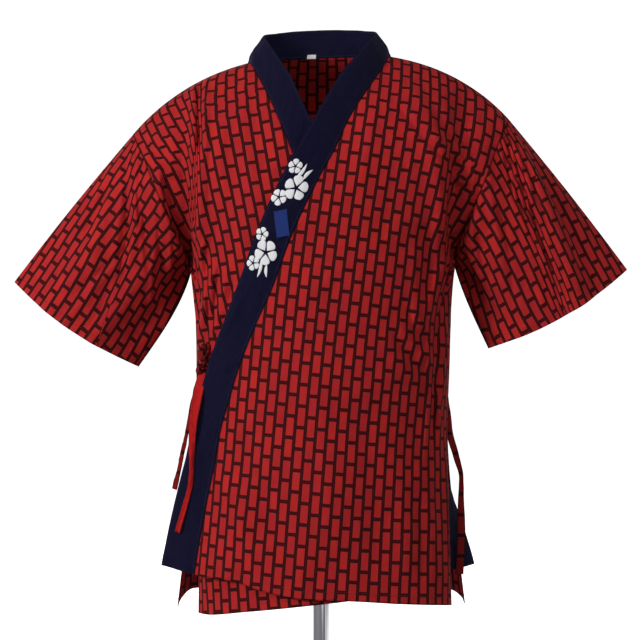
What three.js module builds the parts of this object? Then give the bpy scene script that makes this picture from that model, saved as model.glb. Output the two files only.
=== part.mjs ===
// A short-sleeved Japanese chef's wrap jacket on a limbless dress form, with its pole and round base.
// Millimetres. +X is the wearer's left, -Y the front and +Z up; the base stands on Z = 0.
//
// The body is measured as flat cloth is: v runs up a panel, from 0 at the hem to V_TOP at the
// shoulder seam, and w runs across it, from -1 at the wearer's right edge to 1 at the left.
import * as THREE from "three";
import { mergeVertices } from "three/addons/utils/BufferGeometryUtils.js";

// ---- driving sizes ----
const CLOTH = 1.6; // wall of a single cloth
const BAND = 2.6; // wall of the collar band, which is folded double
const TIE = 1.8; // wall of a tie, a strip folded on itself
const SEAM_GAP = 0.4; // two pieces stand this far apart at a seam
const LAP = 5.5; // the top front lies this far outside the under front
const SIDE_INSET = 6; // the under front's inner side lies this far inside the top front
const V_TOP = 720; // hem to shoulder seam, along the middle of a front
const V_UNDERARM = 410;
const V_SLIT = 200; // the side seams end here and the slits begin
const LEAN = 0.042; // the jacket sits a little higher on the wearer's left shoulder
const HEM_REACH = 300; // the hem's own line is felt up to this level

// ---- tables and small helpers ----
const vec = (x, y, z) => new THREE.Vector3(x, y, z);
const clamp01 = (t) => Math.min(1, Math.max(0, t));
const smooth = (a, b, t) => {
  const s = clamp01((t - a) / (b - a));
  return s * s * (3 - 2 * s);
};
const table = (names, rows) =>
  rows.map((r) => Object.fromEntries(names.map((n, i) => [n, r[i]])));

// The row of a table at any value of its first column, on a smooth curve through its rows.
function rowAt(rows, value) {
  const key = Object.keys(rows[0])[0];
  const up = rows[rows.length - 1][key] > rows[0][key];
  const list = up ? rows : [...rows].reverse();
  const t = Math.min(list[list.length - 1][key], Math.max(list[0][key], value));
  let i = 0;
  while (i < list.length - 2 && t > list[i + 1][key]) i += 1;
  const span = (a, b) => list[b][key] - list[a][key];
  const s = (t - list[i][key]) / span(i, i + 1);
  const rise = (n, c) => (list[n + 1][c] - list[n][c]) / span(n, n + 1);
  const slope = (n, c) => {
    const before = rise(Math.max(0, n - 1), c);
    const after = rise(Math.min(list.length - 2, n), c);
    return before * after <= 0 ? 0 : (2 * before * after) / (before + after);
  };
  const out = { [key]: t };
  for (const c of Object.keys(list[0]).slice(1)) {
    const h = span(i, i + 1);
    out[c] =
      (2 * s ** 3 - 3 * s ** 2 + 1) * list[i][c] +
      (s ** 3 - 2 * s ** 2 + s) * h * slope(i, c) +
      (-2 * s ** 3 + 3 * s ** 2) * list[i + 1][c] +
      (s ** 3 - s ** 2) * h * slope(i + 1, c);
  }
  return out;
}

// ---- the body's sections, one row for each level of v ----
const SECTION = ["v", "midY", "midZ", "sideX", "sideY", "sideZ", "round", "drop"];
const FRONT = table(SECTION, [
  [0, -118, 236, 163, -34, 215, 0.97, 2.2],
  [50, -118, 286, 162, -27, 270, 0.98, 2.2],
  [100, -118, 336, 161, -18, 326, 0.99, 2.2],
  [150, -118, 386, 160.5, -8, 382, 1, 2.2],
  [V_SLIT, -118, 436, 160, 0, 434, 1, 2.2],
  [280, -117, 516, 158, 0, 516, 1, 2.2],
  [340, -118, 576, 159, 0, 576, 1, 2.2],
  [V_UNDERARM, -121, 646, 165, 0, 645, 1, 2.2],
  [470, -120, 706, 176, -36, 676, 0.86, 2.6],
  [530, -113, 764, 191, -56, 712, 0.72, 2.6],
  [590, -95, 819, 206, -62, 748, 0.62, 2.5],
  [640, -70, 861, 219, -50, 781, 0.55, 2.4],
  [685, -36, 896, 230, -27, 805, 0.52, 2.3],
  [705, -17, 910, 235.5, -13, 816.5, 0.5, 2.3],
  [V_TOP, 0, 914, 238, 0, 821, 0.5, 2.3],
]);
const BACK = table(SECTION, [
  [0, 106, 230, 184, 26, 211, 0.95, 2.4],
  [50, 106, 280, 177, 20, 267, 0.97, 2.4],
  [100, 105, 331, 170, 14, 322, 0.98, 2.2],
  [150, 105, 382, 163.5, 7, 379, 1, 2.2],
  [V_SLIT, 104, 433, 160, 0, 434, 1, 2.2],
  [280, 102, 515, 158, 0, 516, 1, 2.2],
  [340, 103, 575, 159, 0, 576, 1, 2.2],
  [V_UNDERARM, 106, 645, 165, 0, 645, 1, 2.2],
  [470, 108, 706, 176, 34, 676, 0.86, 2.6],
  [530, 106, 768, 191, 52, 712, 0.72, 2.6],
  [590, 97, 826, 206, 57, 748, 0.62, 2.5],
  [640, 79, 869, 219, 46, 781, 0.55, 2.4],
  [685, 40, 899, 230, 25, 805, 0.52, 2.3],
  [705, 18, 911, 235.5, 12, 816.5, 0.5, 2.3],
  [V_TOP, 0, 914, 238, 0, 821, 0.5, 2.3],
]);

// Height of each panel's hem across its width.
const HEM = ["w", "z"];
const TOP_HEM = table(HEM, [
  [-1, 262],
  [-0.8, 260],
  [-0.44, 255],
  [-0.31, 246],
  [-0.07, 235],
  [0.14, 233],
  [0.41, 228],
  [1, 219],
]);
const UNDER_HEM = table(HEM, [
  [-1, 209],
  [-0.75, 210],
  [-0.4, 218],
  [-0.1, 226],
  [0.16, 233],
  [0.45, 243],
  [0.75, 254],
  [1, 262],
]);
const BACK_HEM = table(HEM, [
  [-1, 209],
  [-0.9, 219],
  [-0.75, 229],
  [0, 232],
  [0.75, 228],
  [0.9, 221],
  [1, 213],
]);

// Soft troughs and ridges of the worn cloth: a line across a panel from (w0, v0) to (w1, v1), its
// half width, and how far it goes in (below 0) or out.
const FOLD = ["w0", "v0", "w1", "v1", "half", "out"];
const FRONT_FOLDS = table(FOLD, [
  [-0.88, 425, -0.74, 700, 18, -11],
  [0.88, 425, 0.75, 700, 18, -11],
  [-0.74, 430, -0.58, 600, 15, 5],
  [0.74, 430, 0.6, 600, 15, 5],
  [0.42, 665, 0.7, 560, 14, 5],
  [0.54, 650, 0.78, 550, 13, -2.5],
  [0.48, 320, 0.8, 430, 12, 4.5],
  [0.62, 300, 0.9, 390, 11, -4.5],
  [-0.84, 300, -0.6, 400, 11, 4.5],
  [-0.9, 310, -0.78, 400, 9, -4],
  [-0.2, 20, 0.16, 190, 30, 3],
  [0.3, 10, 0.5, 220, 26, -3],
]);
const BACK_FOLDS = table(FOLD, [
  [-0.9, 425, -0.75, 690, 16, -10],
  [0.9, 425, 0.75, 690, 16, -10],
  [-0.72, 430, -0.6, 600, 16, 5],
  [0.72, 430, 0.6, 600, 16, 5],
  [-0.3, 560, 0.25, 590, 18, 3.5],
  [-0.55, 300, -0.35, 400, 18, -4],
  [0.5, 290, 0.36, 410, 20, -4],
  [-0.34, 10, -0.22, 200, 28, 4],
  [0.3, 10, 0.18, 210, 30, 4],
  [0, 20, 0.03, 180, 24, -3],
]);
const FLAT_HALF = 205; // about half a panel's width, measured along the cloth

function foldOut(folds, w, v, across = FLAT_HALF) {
  let out = 0;
  for (const f of folds) {
    const dw = (f.w1 - f.w0) * across;
    const dv = f.v1 - f.v0;
    const fromW = (w - f.w0) * across;
    const fromV = v - f.v0;
    const along = (fromW * dw + fromV * dv) / (dw * dw + dv * dv);
    const off = (fromW * dv - fromV * dw) / Math.hypot(dw, dv);
    const ends = smooth(-0.15, 0.3, along) * smooth(1.15, 0.7, along);
    out += f.out * ends * Math.exp(-((off / f.half) ** 2));
  }
  return out;
}

// A panel: its section table, folds and hem, how far it lies outside the base surface, how far its
// sides at the wearer's right (w below 0) and left are moved out, and how far its left side swings
// back below the slit.
const panelOf = (rows, folds, hem, out, right, left, swing) => {
  return { rows, folds, hem, out, right, left, swing };
};
const PANELS = {
  back: panelOf(BACK, BACK_FOLDS, BACK_HEM, 0, 0, 0, 0),
  under: panelOf(FRONT, FRONT_FOLDS, UNDER_HEM, 0, 0, -SIDE_INSET, 30),
  top: panelOf(FRONT, FRONT_FOLDS, TOP_HEM, LAP, SIDE_INSET, 0, -10),
};

const lapOut = (panel, v) => -panel.out * smooth(690, 600, v);
const RIGHT_TRIM = 2.5; // the wearer's right side hangs this much closer in
const UNDER_TRIM = 9; // the under front's free corner hangs this much further in at the hem
const sideOf = (panel, row, w) => {
  if (w >= 0) return row.sideX + panel.left;
  const corner = panel === PANELS.under ? UNDER_TRIM * (1 - smooth(0, V_SLIT, row.v)) : 0;
  return row.sideX + panel.right - corner - RIGHT_TRIM * smooth(520, V_UNDERARM, row.v);
};
const levelZ = (row, w) => row.midZ + (row.sideZ - row.midZ) * Math.abs(w) ** row.drop;

// The w at which a panel's level v crosses x.
function acrossAt(panel, v, x) {
  const row = rowAt(panel.rows, v);
  const turn = (row.round * Math.PI) / 2;
  const share = Math.min(1, Math.abs(x) / sideOf(panel, row, x));
  return (Math.sign(x) * Math.asin(share * Math.sin(turn))) / turn;
}

function smoothPoint(panel, v, w) {
  const row = rowAt(panel.rows, v);
  const turn = (row.round * Math.PI) / 2;
  const a = Math.abs(w) * turn;
  const midY = row.midY + lapOut(panel, v);
  const x = (Math.sign(w) * sideOf(panel, row, w) * Math.sin(a)) / Math.sin(turn);
  const sideY = row.sideY + (w > 0 ? panel.swing * (1 - smooth(0, V_SLIT, v)) : 0);
  const y = sideY + ((midY - sideY) * (Math.cos(a) - Math.cos(turn))) / (1 - Math.cos(turn));
  const lift = rowAt(panel.hem, w).z - levelZ(panel.rows[0], w);
  const z = levelZ(row, w) + lift * (1 - clamp01(v / HEM_REACH)) ** 2;
  return vec(x, y, z + LEAN * x * smooth(560, 820, z));
}

function panelNormal(panel, v, w) {
  const step = 0.004;
  const alongV = smoothPoint(panel, Math.min(V_TOP, v + 2), w).sub(
    smoothPoint(panel, Math.max(0, v - 2), w),
  );
  const alongW = smoothPoint(panel, v, w + step).sub(smoothPoint(panel, v, w - step));
  const n = alongV.cross(alongW).normalize();
  const turn = (w * Math.PI) / 2;
  const outward = panel.rows === FRONT ? -1 : 1;
  const away = vec(Math.sin(turn), outward * Math.cos(turn), smooth(560, 720, v));
  return n.dot(away) < 0 ? n.negate() : n;
}

function panelPoint(panel, v, w, out = 0) {
  const p = smoothPoint(panel, v, w);
  const fold = foldOut(panel.folds, w, v) * smooth(1, 0.9, Math.abs(w));
  return p.addScaledVector(panelNormal(panel, v, w), fold + out);
}

// ---- thin walls ----
// A closed solid from a grid of middle points and the directions of its thickness. When around is
// true the last column joins the first, as in a tube.
function wall(points, directions, thickness, around = false) {
  const rows = points.length;
  const cols = points[0].length;
  const position = [];
  for (const half of [thickness / 2, -thickness / 2])
    points.forEach((line, i) =>
      line.forEach((p, j) => {
        const q = p.clone().addScaledVector(directions[i][j], half);
        position.push(q.x, q.y, q.z);
      }),
    );
  const index = [];
  const id = (side, i, j) => side * rows * cols + i * cols + (j % cols);
  const quad = (a, b, c, d) => index.push(a, b, c, a, c, d);
  const lastCol = around ? cols : cols - 1;
  for (let i = 0; i < rows - 1; i += 1)
    for (let j = 0; j < lastCol; j += 1) {
      quad(id(0, i, j), id(0, i, j + 1), id(0, i + 1, j + 1), id(0, i + 1, j));
      quad(id(1, i, j), id(1, i + 1, j), id(1, i + 1, j + 1), id(1, i, j + 1));
    }
  for (let j = 0; j < lastCol; j += 1) {
    quad(id(0, 0, j), id(1, 0, j), id(1, 0, j + 1), id(0, 0, j + 1));
    quad(id(0, rows - 1, j), id(0, rows - 1, j + 1), id(1, rows - 1, j + 1), id(1, rows - 1, j));
  }
  if (!around)
    for (let i = 0; i < rows - 1; i += 1) {
      quad(id(0, i, 0), id(0, i + 1, 0), id(1, i + 1, 0), id(1, i, 0));
      quad(id(0, i, cols - 1), id(1, i, cols - 1), id(1, i + 1, cols - 1), id(0, i + 1, cols - 1));
    }
  return closedGeometry(position, index);
}

// A geometry of indexed triangles, turned so that its faces point out.
function closedGeometry(position, index) {
  let volume = 0;
  const at = (n) => vec(position[3 * n], position[3 * n + 1], position[3 * n + 2]);
  for (let i = 0; i < index.length; i += 3)
    volume += at(index[i]).dot(at(index[i + 1]).cross(at(index[i + 2])));
  if (volume < 0)
    for (let i = 0; i < index.length; i += 3)
      [index[i + 1], index[i + 2]] = [index[i + 2], index[i + 1]];
  const geometry = new THREE.BufferGeometry();
  geometry.setAttribute("position", new THREE.Float32BufferAttribute(position, 3));
  geometry.setIndex(index);
  geometry.computeVertexNormals();
  return geometry;
}

// The directions across a grid of points, from the points themselves.
function gridDirections(points, around, facing) {
  const cols = points[0].length;
  return points.map((line, i) =>
    line.map((p, j) => {
      const before = around ? (j + cols - 1) % cols : Math.max(0, j - 1);
      const after = around ? (j + 1) % cols : Math.min(cols - 1, j + 1);
      const down = points[Math.max(0, i - 1)][j];
      const up = points[Math.min(points.length - 1, i + 1)][j];
      const n = up.clone().sub(down).cross(line[after].clone().sub(line[before])).normalize();
      return n.dot(facing(p)) < 0 ? n.negate() : n;
    }),
  );
}

const group = new THREE.Group();
const MATERIALS = {
  printed_cotton: { color: 0xa01c22, roughness: 0.82, metalness: 0 },
  navy_cotton: { color: 0x1a1c38, roughness: 0.8, metalness: 0 },
  white_label: { color: 0xe8e8ea, roughness: 0.6, metalness: 0 },
  blue_label: { color: 0x1c3f9c, roughness: 0.55, metalness: 0 },
  form_shell: { color: 0xd9d4ca, roughness: 0.6, metalness: 0 },
  chrome: { color: 0xc4c6ca, roughness: 0.18, metalness: 1 },
};
function addPiece(name, geometry, material) {
  const mesh = new THREE.Mesh(geometry, new THREE.MeshStandardMaterial(MATERIALS[material]));
  mesh.name = name;
  group.add(mesh);
}

// The levels and the turns of the neck at which every piece is drawn, so that seams meet exactly.
const CROWN = 600; // the levels are closer together above this one
const steps = (from, to, n) => Array.from({ length: n }, (_, i) => from + ((to - from) * i) / n);
const LEVELS = [
  ...steps(0, V_SLIT, 5),
  ...steps(V_SLIT, V_UNDERARM, 6),
  ...steps(V_UNDERARM, CROWN, 7),
  ...steps(CROWN, V_TOP, 8),
  V_TOP,
];
const NECK_TURNS = steps(0, Math.PI, 12).slice(1);

// ---- the collar band: where its seam and its free edge run ----
// One row for each place along a front, from the shoulder to the hem: the level and x of the seam,
// and the place of the free edge.
const BAND_ROW = ["v", "seamX", "edgeX", "edgeY", "edgeZ"];
const TOP_BAND = table(BAND_ROW, [
  [720, 88, 70, -2, 940],
  [690, 79, 60, -28, 928],
  [660, 66, 46, -52, 908],
  [631, 52, 28, -73, 886],
  [592, 33, 5, -99, 848],
  [552, 16.8, -18, -117, 806],
  [518, -1, -38, -124, 771],
  [437, -38.5, -76, -120, 690],
  [380, -59, -97, -106, 632],
  [325, -83.5, -119, -91, 574],
  [280, -101, -136, -77, 530],
  [240, -113, -147, -68, 494],
  [200, -124, -157, -62, 456],
  [152, -132, -166, -59, 412],
  [105, -141, -178, -53, 364],
  [45, -151, -191, -45, 312],
  [0, -157, -199, -38, 269],
]);
const UNDER_BAND = table(BAND_ROW, [
  [720, -92, -72, -2, 936],
  [700, -86, -66, -20, 926],
  [668, -75, -54, -46, 906],
  [631, -62, -40, -66, 884],
  [592, -49, -24, -88, 848],
  [552, -35, -4, -104, 806],
  [518, -20, 14, -110, 774],
  [437, 17, 54, -110, 690],
  [380, 42, 80, -98, 632],
  [325, 68, 104, -84, 574],
  [280, 90, 122, -66, 530],
  [240, 106, 134, -54, 494],
  [200, 116, 141, -42, 452],
  [152, 130, 151, -12, 404],
  [105, 149, 168, 10, 350],
  [45, 152, 183, 10, 306],
  [0, 153, 195, 4, 266],
]);
const NECK_V = 703; // level of the neck seam at the middle of the back
const NECK_RISE = 12; // the band's free edge is this much higher at the middle of the back
const NECK_DEPTH = 58; // and this far behind the shoulders
const BAND_ACROSS = 4;
const BAND_BULGE = 1.8; // the band follows the chest's curve by this much across its width

const seamW = (panel, rows, v) => acrossAt(panel, v, rowAt(rows, v).seamX);
const NECK_W = {
  left: seamW(PANELS.top, TOP_BAND, V_TOP),
  right: seamW(PANELS.under, UNDER_BAND, V_TOP),
};
const neckShare = (w) => clamp01(Math.abs(w / (w > 0 ? NECK_W.left : NECK_W.right)));
const neckLevel = (w) => NECK_V + (V_TOP - NECK_V) * neckShare(w) ** 3;
function neckW(turn) {
  const c = Math.cos(turn);
  return c * (c > 0 ? NECK_W.left : -NECK_W.right);
}

// The band at any place: side is top, neck or under; along is the level v on a front, or the turn
// round the neck in radians from the wearer's left; q runs from the seam (0) to the free edge (1).
function bandEnds(side, along) {
  if (side === "neck") {
    const c = Math.cos(along);
    const w = neckW(along);
    const seam = panelPoint(PANELS.back, neckLevel(w), w);
    const free = vec(71 * c - 1, -2 + NECK_DEPTH * Math.sin(along), 938 + 2 * c);
    free.z += NECK_RISE * Math.sin(along);
    return [seam, free];
  }
  const [panel, rows] = side === "top" ? [PANELS.top, TOP_BAND] : [PANELS.under, UNDER_BAND];
  const r = rowAt(rows, along);
  return [panelPoint(panel, along, acrossAt(panel, along, r.seamX)), vec(r.edgeX, r.edgeY, r.edgeZ)];
}

function bandFrame(side, along) {
  const [seam, free] = bandEnds(side, along);
  const step = side === "neck" ? 0.02 : 1.5;
  const lower = side === "neck" ? along - step : Math.max(0, along - step);
  const upper = side === "neck" ? along + step : Math.min(V_TOP, along + step);
  const [a, b] = [bandEnds(side, lower)[0], bandEnds(side, upper)[0]];
  const width = free.clone().sub(seam);
  const out = width.clone().cross(b.sub(a)).normalize();
  const away = vec(seam.x, seam.y + 10, 0);
  if (out.dot(away) < 0) out.negate();
  return { seam, width, out };
}

function bandPoint(side, along, q, out = 0) {
  const f = bandFrame(side, along);
  return f.seam
    .addScaledVector(f.width, q)
    .addScaledVector(f.out, 4 * BAND_BULGE * q * (1 - q) + out);
}

// The direction that both walls at a seam end along, so that they meet in a mitre.
function mitre(a, b) {
  const d = a.clone().add(b).normalize();
  return d.divideScalar(Math.max(0.55, d.dot(a)));
}
const panelMitre = (panel, side, v, w) =>
  mitre(panelNormal(panel, v, w), bandFrame(side, side === "neck" ? turnOf(w) : v).out);
const turnOf = (w) => Math.acos(Math.sign(w) * neckShare(w));

const BAND_STATIONS = [
  ...LEVELS.map((v) => ["top", v]),
  ...NECK_TURNS.map((turn) => ["neck", turn]),
  ...[...LEVELS].reverse().map((v) => ["under", v]),
];

function collarBand() {
  const points = [];
  const directions = [];
  for (const [side, along] of BAND_STATIONS) {
    const { width, out } = bandFrame(side, along);
    const panel = { top: PANELS.top, under: PANELS.under, neck: PANELS.back }[side];
    const v = side === "neck" ? neckLevel(panelW(side, along)) : along;
    const start = SEAM_GAP / width.length();
    const line = [];
    const across = [];
    for (let j = 0; j <= BAND_ACROSS; j += 1) {
      const q = start + (1 - start) * (j / BAND_ACROSS);
      line.push(bandPoint(side, along, q));
      across.push(j === 0 ? mitre(out, panelNormal(panel, v, panelW(side, along))) : out.clone());
      if (j === 0 && along === V_TOP) across[0].setY(0);
    }
    points.push(line);
    directions.push(across);
  }
  return wall(points, directions, BAND);
}
function panelW(side, along) {
  if (side === "top") return seamW(PANELS.top, TOP_BAND, along);
  if (side === "under") return seamW(PANELS.under, UNDER_BAND, along);
  return neckW(along);
}

// ---- sleeves ----
// Each sleeve runs from its armhole to a flattened cuff, given by its upper and lower corners. h goes
// down the sleeve's front or back, from 0 at the top line to 1 at the underarm seam; t goes from 0
// at the armhole to 1 at the cuff. The top line and the underarm seam are bowed, and the cuff's edge
// sweeps down at its middle.
const SLEEVES = {
  sleeve_left: {
    side: 1,
    cuffTop: vec(388.4, 0, 639.6),
    cuffLow: vec(213, 0, 540),
    topBow: 2,
    lowBow: 3,
    sweep: { front: 10, back: 14 },
    folds: table(
      ["h0", "t0", "h1", "t1", "half", "out"],
      [
        [0.08, -0.04, 0.4, 1.1, 13, 6],
        [0.2, -0.02, 0.52, 1.1, 13, -5],
        [0.02, 0.1, 0.28, 1.1, 12, -3.5],
        [0.62, 0, 0.75, 1.1, 16, 4],
        [0.9, 0.1, 0.88, 0.9, 14, -4],
      ],
    ),
  },
  sleeve_right: {
    side: -1,
    cuffTop: vec(-389, 0, 624),
    cuffLow: vec(-232, 0, 517),
    topBow: 2,
    lowBow: 8,
    sweep: { front: 8, back: 10 },
    folds: table(
      ["h0", "t0", "h1", "t1", "half", "out"],
      [
        [0.15, 0, 0.62, 0.55, 14, -6],
        [0.05, 0.06, 0.45, 0.7, 13, 4],
        [0.3, 0.35, 0.3, 1.1, 16, 3.5],
        [0.7, 0.3, 0.66, 1.1, 15, 4],
        [0.88, 0.1, 0.86, 0.9, 14, -4],
      ],
    ),
  },
};
const SLEEVE_BACK_FOLDS = table(
  ["h0", "t0", "h1", "t1", "half", "out"],
  [
    [0.1, 0, 0.4, 1.1, 14, 4],
    [0.4, 0, 0.55, 1.1, 16, -4],
    [0.7, 0, 0.75, 1.1, 16, 4],
  ],
);
const CUFF_FRONT = 42; // how far the cuff's front stands out
const CUFF_BACK = 40;
const SLEEVE_FLAT = 240; // about one half of a sleeve, measured along the cloth both ways
const ARM_FALL = V_TOP - V_UNDERARM;

function sleevePoint(sleeve, face, h, t, out = 0) {
  const panel = face === "back" ? PANELS.back : sleeve.side > 0 ? PANELS.top : PANELS.under;
  const a = armholePoint(panel, sleeve.side, V_TOP - ARM_FALL * h);
  const deep = Math.sin(Math.PI * h) ** 0.85;
  const chord = sleeve.cuffLow.clone().sub(sleeve.cuffTop);
  const down = vec(chord.z, 0, -chord.x).normalize();
  if (down.z > 0) down.negate();
  const c = sleeve.cuffTop.clone().addScaledVector(chord, h);
  c.y = face === "back" ? CUFF_BACK * deep : -CUFF_FRONT * deep;
  c.addScaledVector(down, sleeve.sweep[face] * Math.sin(Math.PI * h));
  const bow = sleeve.topBow * Math.sin(Math.PI * t) * (1 - h) ** 2;
  const sag = sleeve.lowBow * Math.sin(Math.PI * clamp01(t) ** 0.75) * h ** 3;
  const p = a.lerp(c, t).add(vec(sleeve.side * (bow * 0.75 - sag * 0.85), 0, bow * 0.65 - sag * 0.4));
  return out === 0 ? p : p.addScaledVector(sleeveNormal(sleeve, face, h, t), out);
}
function armholePoint(panel, side, v) {
  return smoothPoint({ ...panel, out: 0, left: 0, right: 0 }, v, side);
}
function sleeveNormal(sleeve, face, h, t) {
  const e = 0.01;
  const hh = Math.min(1 - e, Math.max(e, h));
  const alongH = sleevePoint(sleeve, face, hh + e, t).sub(sleevePoint(sleeve, face, hh - e, t));
  const alongT = sleevePoint(sleeve, face, hh, t + e).sub(sleevePoint(sleeve, face, hh, t - e));
  const n = alongH.cross(alongT).normalize();
  const middle = sleevePoint(sleeve, "front", 0.5, t).lerp(sleevePoint(sleeve, "back", 0.5, t), 0.5);
  return n.dot(sleevePoint(sleeve, face, hh, t).sub(middle)) < 0 ? n.negate() : n;
}

const SLEEVE_ROWS = 12;
const ARM_STEPS = LEVELS.filter((v) => v >= V_UNDERARM).reverse().map((v) => (V_TOP - v) / ARM_FALL);
function sleeveWall(sleeve) {
  const faces = [
    ...ARM_STEPS.map((h) => ["front", h]),
    ...ARM_STEPS.slice(1, -1).reverse().map((h) => ["back", h]),
  ];
  const points = [];
  const directions = [];
  for (let i = 0; i <= SLEEVE_ROWS; i += 1) {
    const t = i / SLEEVE_ROWS;
    const line = [];
    const across = [];
    for (const [face, h] of faces) {
      const folds = face === "front" ? sleeve.folds : SLEEVE_BACK_FOLDS;
      let n = armNormal(sleeve, face, h, t);
      const hang = smooth(0, 0.12, t) * smooth(0, 0.1, h) * smooth(1, 0.92, h);
      const p = sleevePoint(sleeve, face, h, t);
      p.addScaledVector(n, foldOut(folds, h, t * SLEEVE_FLAT, SLEEVE_FLAT) * hang);
      if (i === 0) {
        const body = armholeNormal(sleeve.side, face, V_TOP - ARM_FALL * h);
        const next = sleevePoint(sleeve, face, h, 0.05).sub(p).normalize();
        const turned = turnedBack(sleeve, face, h);
        p.addScaledVector(next, SEAM_GAP / 2);
        p.addScaledVector(body, (CLOTH + SEAM_GAP) * turned);
        n = mitre(n, body).lerp(n, turned);
      }
      line.push(p);
      across.push(n);
    }
    points.push(line);
    directions.push(across);
  }
  return wall(points, directions, CLOTH, true);
}
for (const sleeve of Object.values(SLEEVES))
  for (const fold of [...sleeve.folds])
    Object.assign(fold, { w0: fold.h0, w1: fold.h1, v0: fold.t0 * SLEEVE_FLAT, v1: fold.t1 * SLEEVE_FLAT });
for (const fold of SLEEVE_BACK_FOLDS)
  Object.assign(fold, { w0: fold.h0, w1: fold.h1, v0: fold.t0 * SLEEVE_FLAT, v1: fold.t1 * SLEEVE_FLAT });

// The body's own direction at an armhole, level v. On the shoulder and underarm seams, where front
// and back meet, it has no Y.
function armholeNormal(side, face, v) {
  const panel = face === "back" ? PANELS.back : side > 0 ? PANELS.top : PANELS.under;
  const n = panelNormal(panel, v, side * 0.985);
  return v === V_TOP || v === V_UNDERARM ? n.setY(0).normalize() : n;
}
function armNormal(sleeve, face, h, t = 0.02) {
  const n = sleeveNormal(sleeve, face, h, t);
  if (h > 0 && h < 1) return n;
  const other = face === "front" ? "back" : "front";
  return n.add(sleeveNormal(sleeve, other, h, t)).setY(0).normalize();
}
// 1 where the sleeve turns back on the body so sharply that the two lie side by side, at the underarm.
const turnedBack = (sleeve, face, h) =>
  smooth(
    0.3,
    -0.2,
    armNormal(sleeve, face, h).dot(armholeNormal(sleeve.side, face, V_TOP - ARM_FALL * h)),
  );

// ---- fronts and back ----

// Where front and back meet, the wall ends in the plane of the seam, Y = 0.
function ridge(n) {
  const flat = vec(n.x, 0, n.z).normalize();
  return flat.divideScalar(Math.max(0.6, flat.dot(n)));
}

// A side edge above the underarm ends in a mitre with its sleeve, below it in the plane of the seam.
function sideDirection(panel, v, side) {
  const face = panel === PANELS.back ? "back" : "front";
  if (v <= V_SLIT - 1) return panelNormal(panel, v, side);
  if (v < V_UNDERARM) return vec(side, 0, 0);
  const sleeve = side > 0 ? SLEEVES.sleeve_left : SLEEVES.sleeve_right;
  const body = armholeNormal(side, face, v);
  const turned = turnedBack(sleeve, face, (V_TOP - v) / ARM_FALL);
  return mitre(body, armNormal(sleeve, face, (V_TOP - v) / ARM_FALL)).lerp(body, turned);
}

function panelWall(panel, columns, lineAt) {
  const points = [];
  const directions = [];
  const outward = panel === PANELS.back ? 1 : -1;
  for (const level of LEVELS) {
    const line = [];
    const across = [];
    for (let j = 0; j <= columns; j += 1) {
      const { v, w, end } = lineAt(level, j / columns);
      const p = panelPoint(panel, v, w);
      let n = panelNormal(panel, v, w);
      if (end === "band") n = panelMitre(panel, panel === PANELS.top ? "top" : "under", v, w);
      if (end === "neck") n = panelMitre(panel, "neck", v, w);
      if (end === "side") {
        n = sideDirection(panel, v, Math.sign(w));
        if (v > V_SLIT - 1 && v <= V_UNDERARM + 12) p.y += (outward * SEAM_GAP) / 2;
        if (v >= V_UNDERARM) p.x -= (Math.sign(w) * SEAM_GAP) / 2;
      }
      if (v === V_TOP) {
        p.y = (outward * SEAM_GAP) / 2;
        const corner = end === "band" || w === NECK_W.left || w === NECK_W.right;
        n = corner ? panelMitre(panel, "neck", v, w).setY(0) : ridge(panelNormal(panel, v, w * 0.99));
        if (corner && outward > 0) p.x += Math.sign(w) * 3 * SEAM_GAP;
      }
      line.push(p);
      across.push(n);
    }
    points.push(line);
    directions.push(across);
  }
  return wall(points, directions, CLOTH);
}

// Even steps across a front, from its band seam to its side, closer together near the side.
const spread = (s) => s ** 0.92;
const frontLine = (panel, side, rows) => (v, s) => {
  const from = seamW(panel, rows, v);
  const width = smoothPoint(panel, v, from).distanceTo(smoothPoint(panel, v, side)) * 1.15;
  const start = from + (side - from) * (SEAM_GAP / 2 / width);
  const w = start + (side - start) * spread(s);
  return { v, w: s === 1 ? side : w, end: s === 0 ? "band" : s === 1 ? "side" : "" };
};
const BACK_SIDE_COLUMNS = 7;
const BACK_ACROSS = [
  ...steps(-1, NECK_W.right, BACK_SIDE_COLUMNS),
  NECK_W.right,
  ...[...NECK_TURNS].reverse().map(neckW),
  ...steps(1, NECK_W.left, BACK_SIDE_COLUMNS).concat(NECK_W.left).reverse(),
];
const backLine = (level, s) => {
  const w = BACK_ACROSS[Math.round(s * (BACK_ACROSS.length - 1))];
  const open = w > NECK_W.right && w < NECK_W.left;
  const end = open ? neckLevel(w) - SEAM_GAP : V_TOP;
  const v = level === V_TOP ? end : (level / V_TOP) * end;
  return { v, w, end: s === 0 || s === 1 ? "side" : level === V_TOP && open ? "neck" : "" };
};

addPiece("collar_band", collarBand(), "navy_cotton");
addPiece(
  "front_top",
  panelWall(PANELS.top, 18, frontLine(PANELS.top, 1, TOP_BAND)),
  "printed_cotton",
);
addPiece(
  "front_under",
  panelWall(PANELS.under, 18, frontLine(PANELS.under, -1, UNDER_BAND)),
  "printed_cotton",
);
addPiece("back", panelWall(PANELS.back, BACK_ACROSS.length - 1, backLine), "printed_cotton");
for (const [name, sleeve] of Object.entries(SLEEVES))
  addPiece(name, sleeveWall(sleeve), "printed_cotton");


// ---- the two labels: one inside the neck seam, one sewn on the band ----
const LABEL = 0.8;
function bandLabel(side, alongs, shares, out) {
  const points = alongs.map((along) => shares.map((q) => bandPoint(side, along, q, out)));
  const directions = alongs.map((along) => shares.map(() => bandFrame(side, along).out));
  return wall(points, directions, LABEL);
}
const onBand = BAND / 2 + SEAM_GAP + LABEL / 2;
addPiece("neck_label", bandLabel("neck", [1.61, 1.7, 1.79], [-0.04, 0.04, 0.12], -onBand), "white_label");
addPiece("band_patch", bandLabel("top", [436, 448, 466], [0.24, 0.39, 0.54], onBand), "blue_label");

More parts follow.
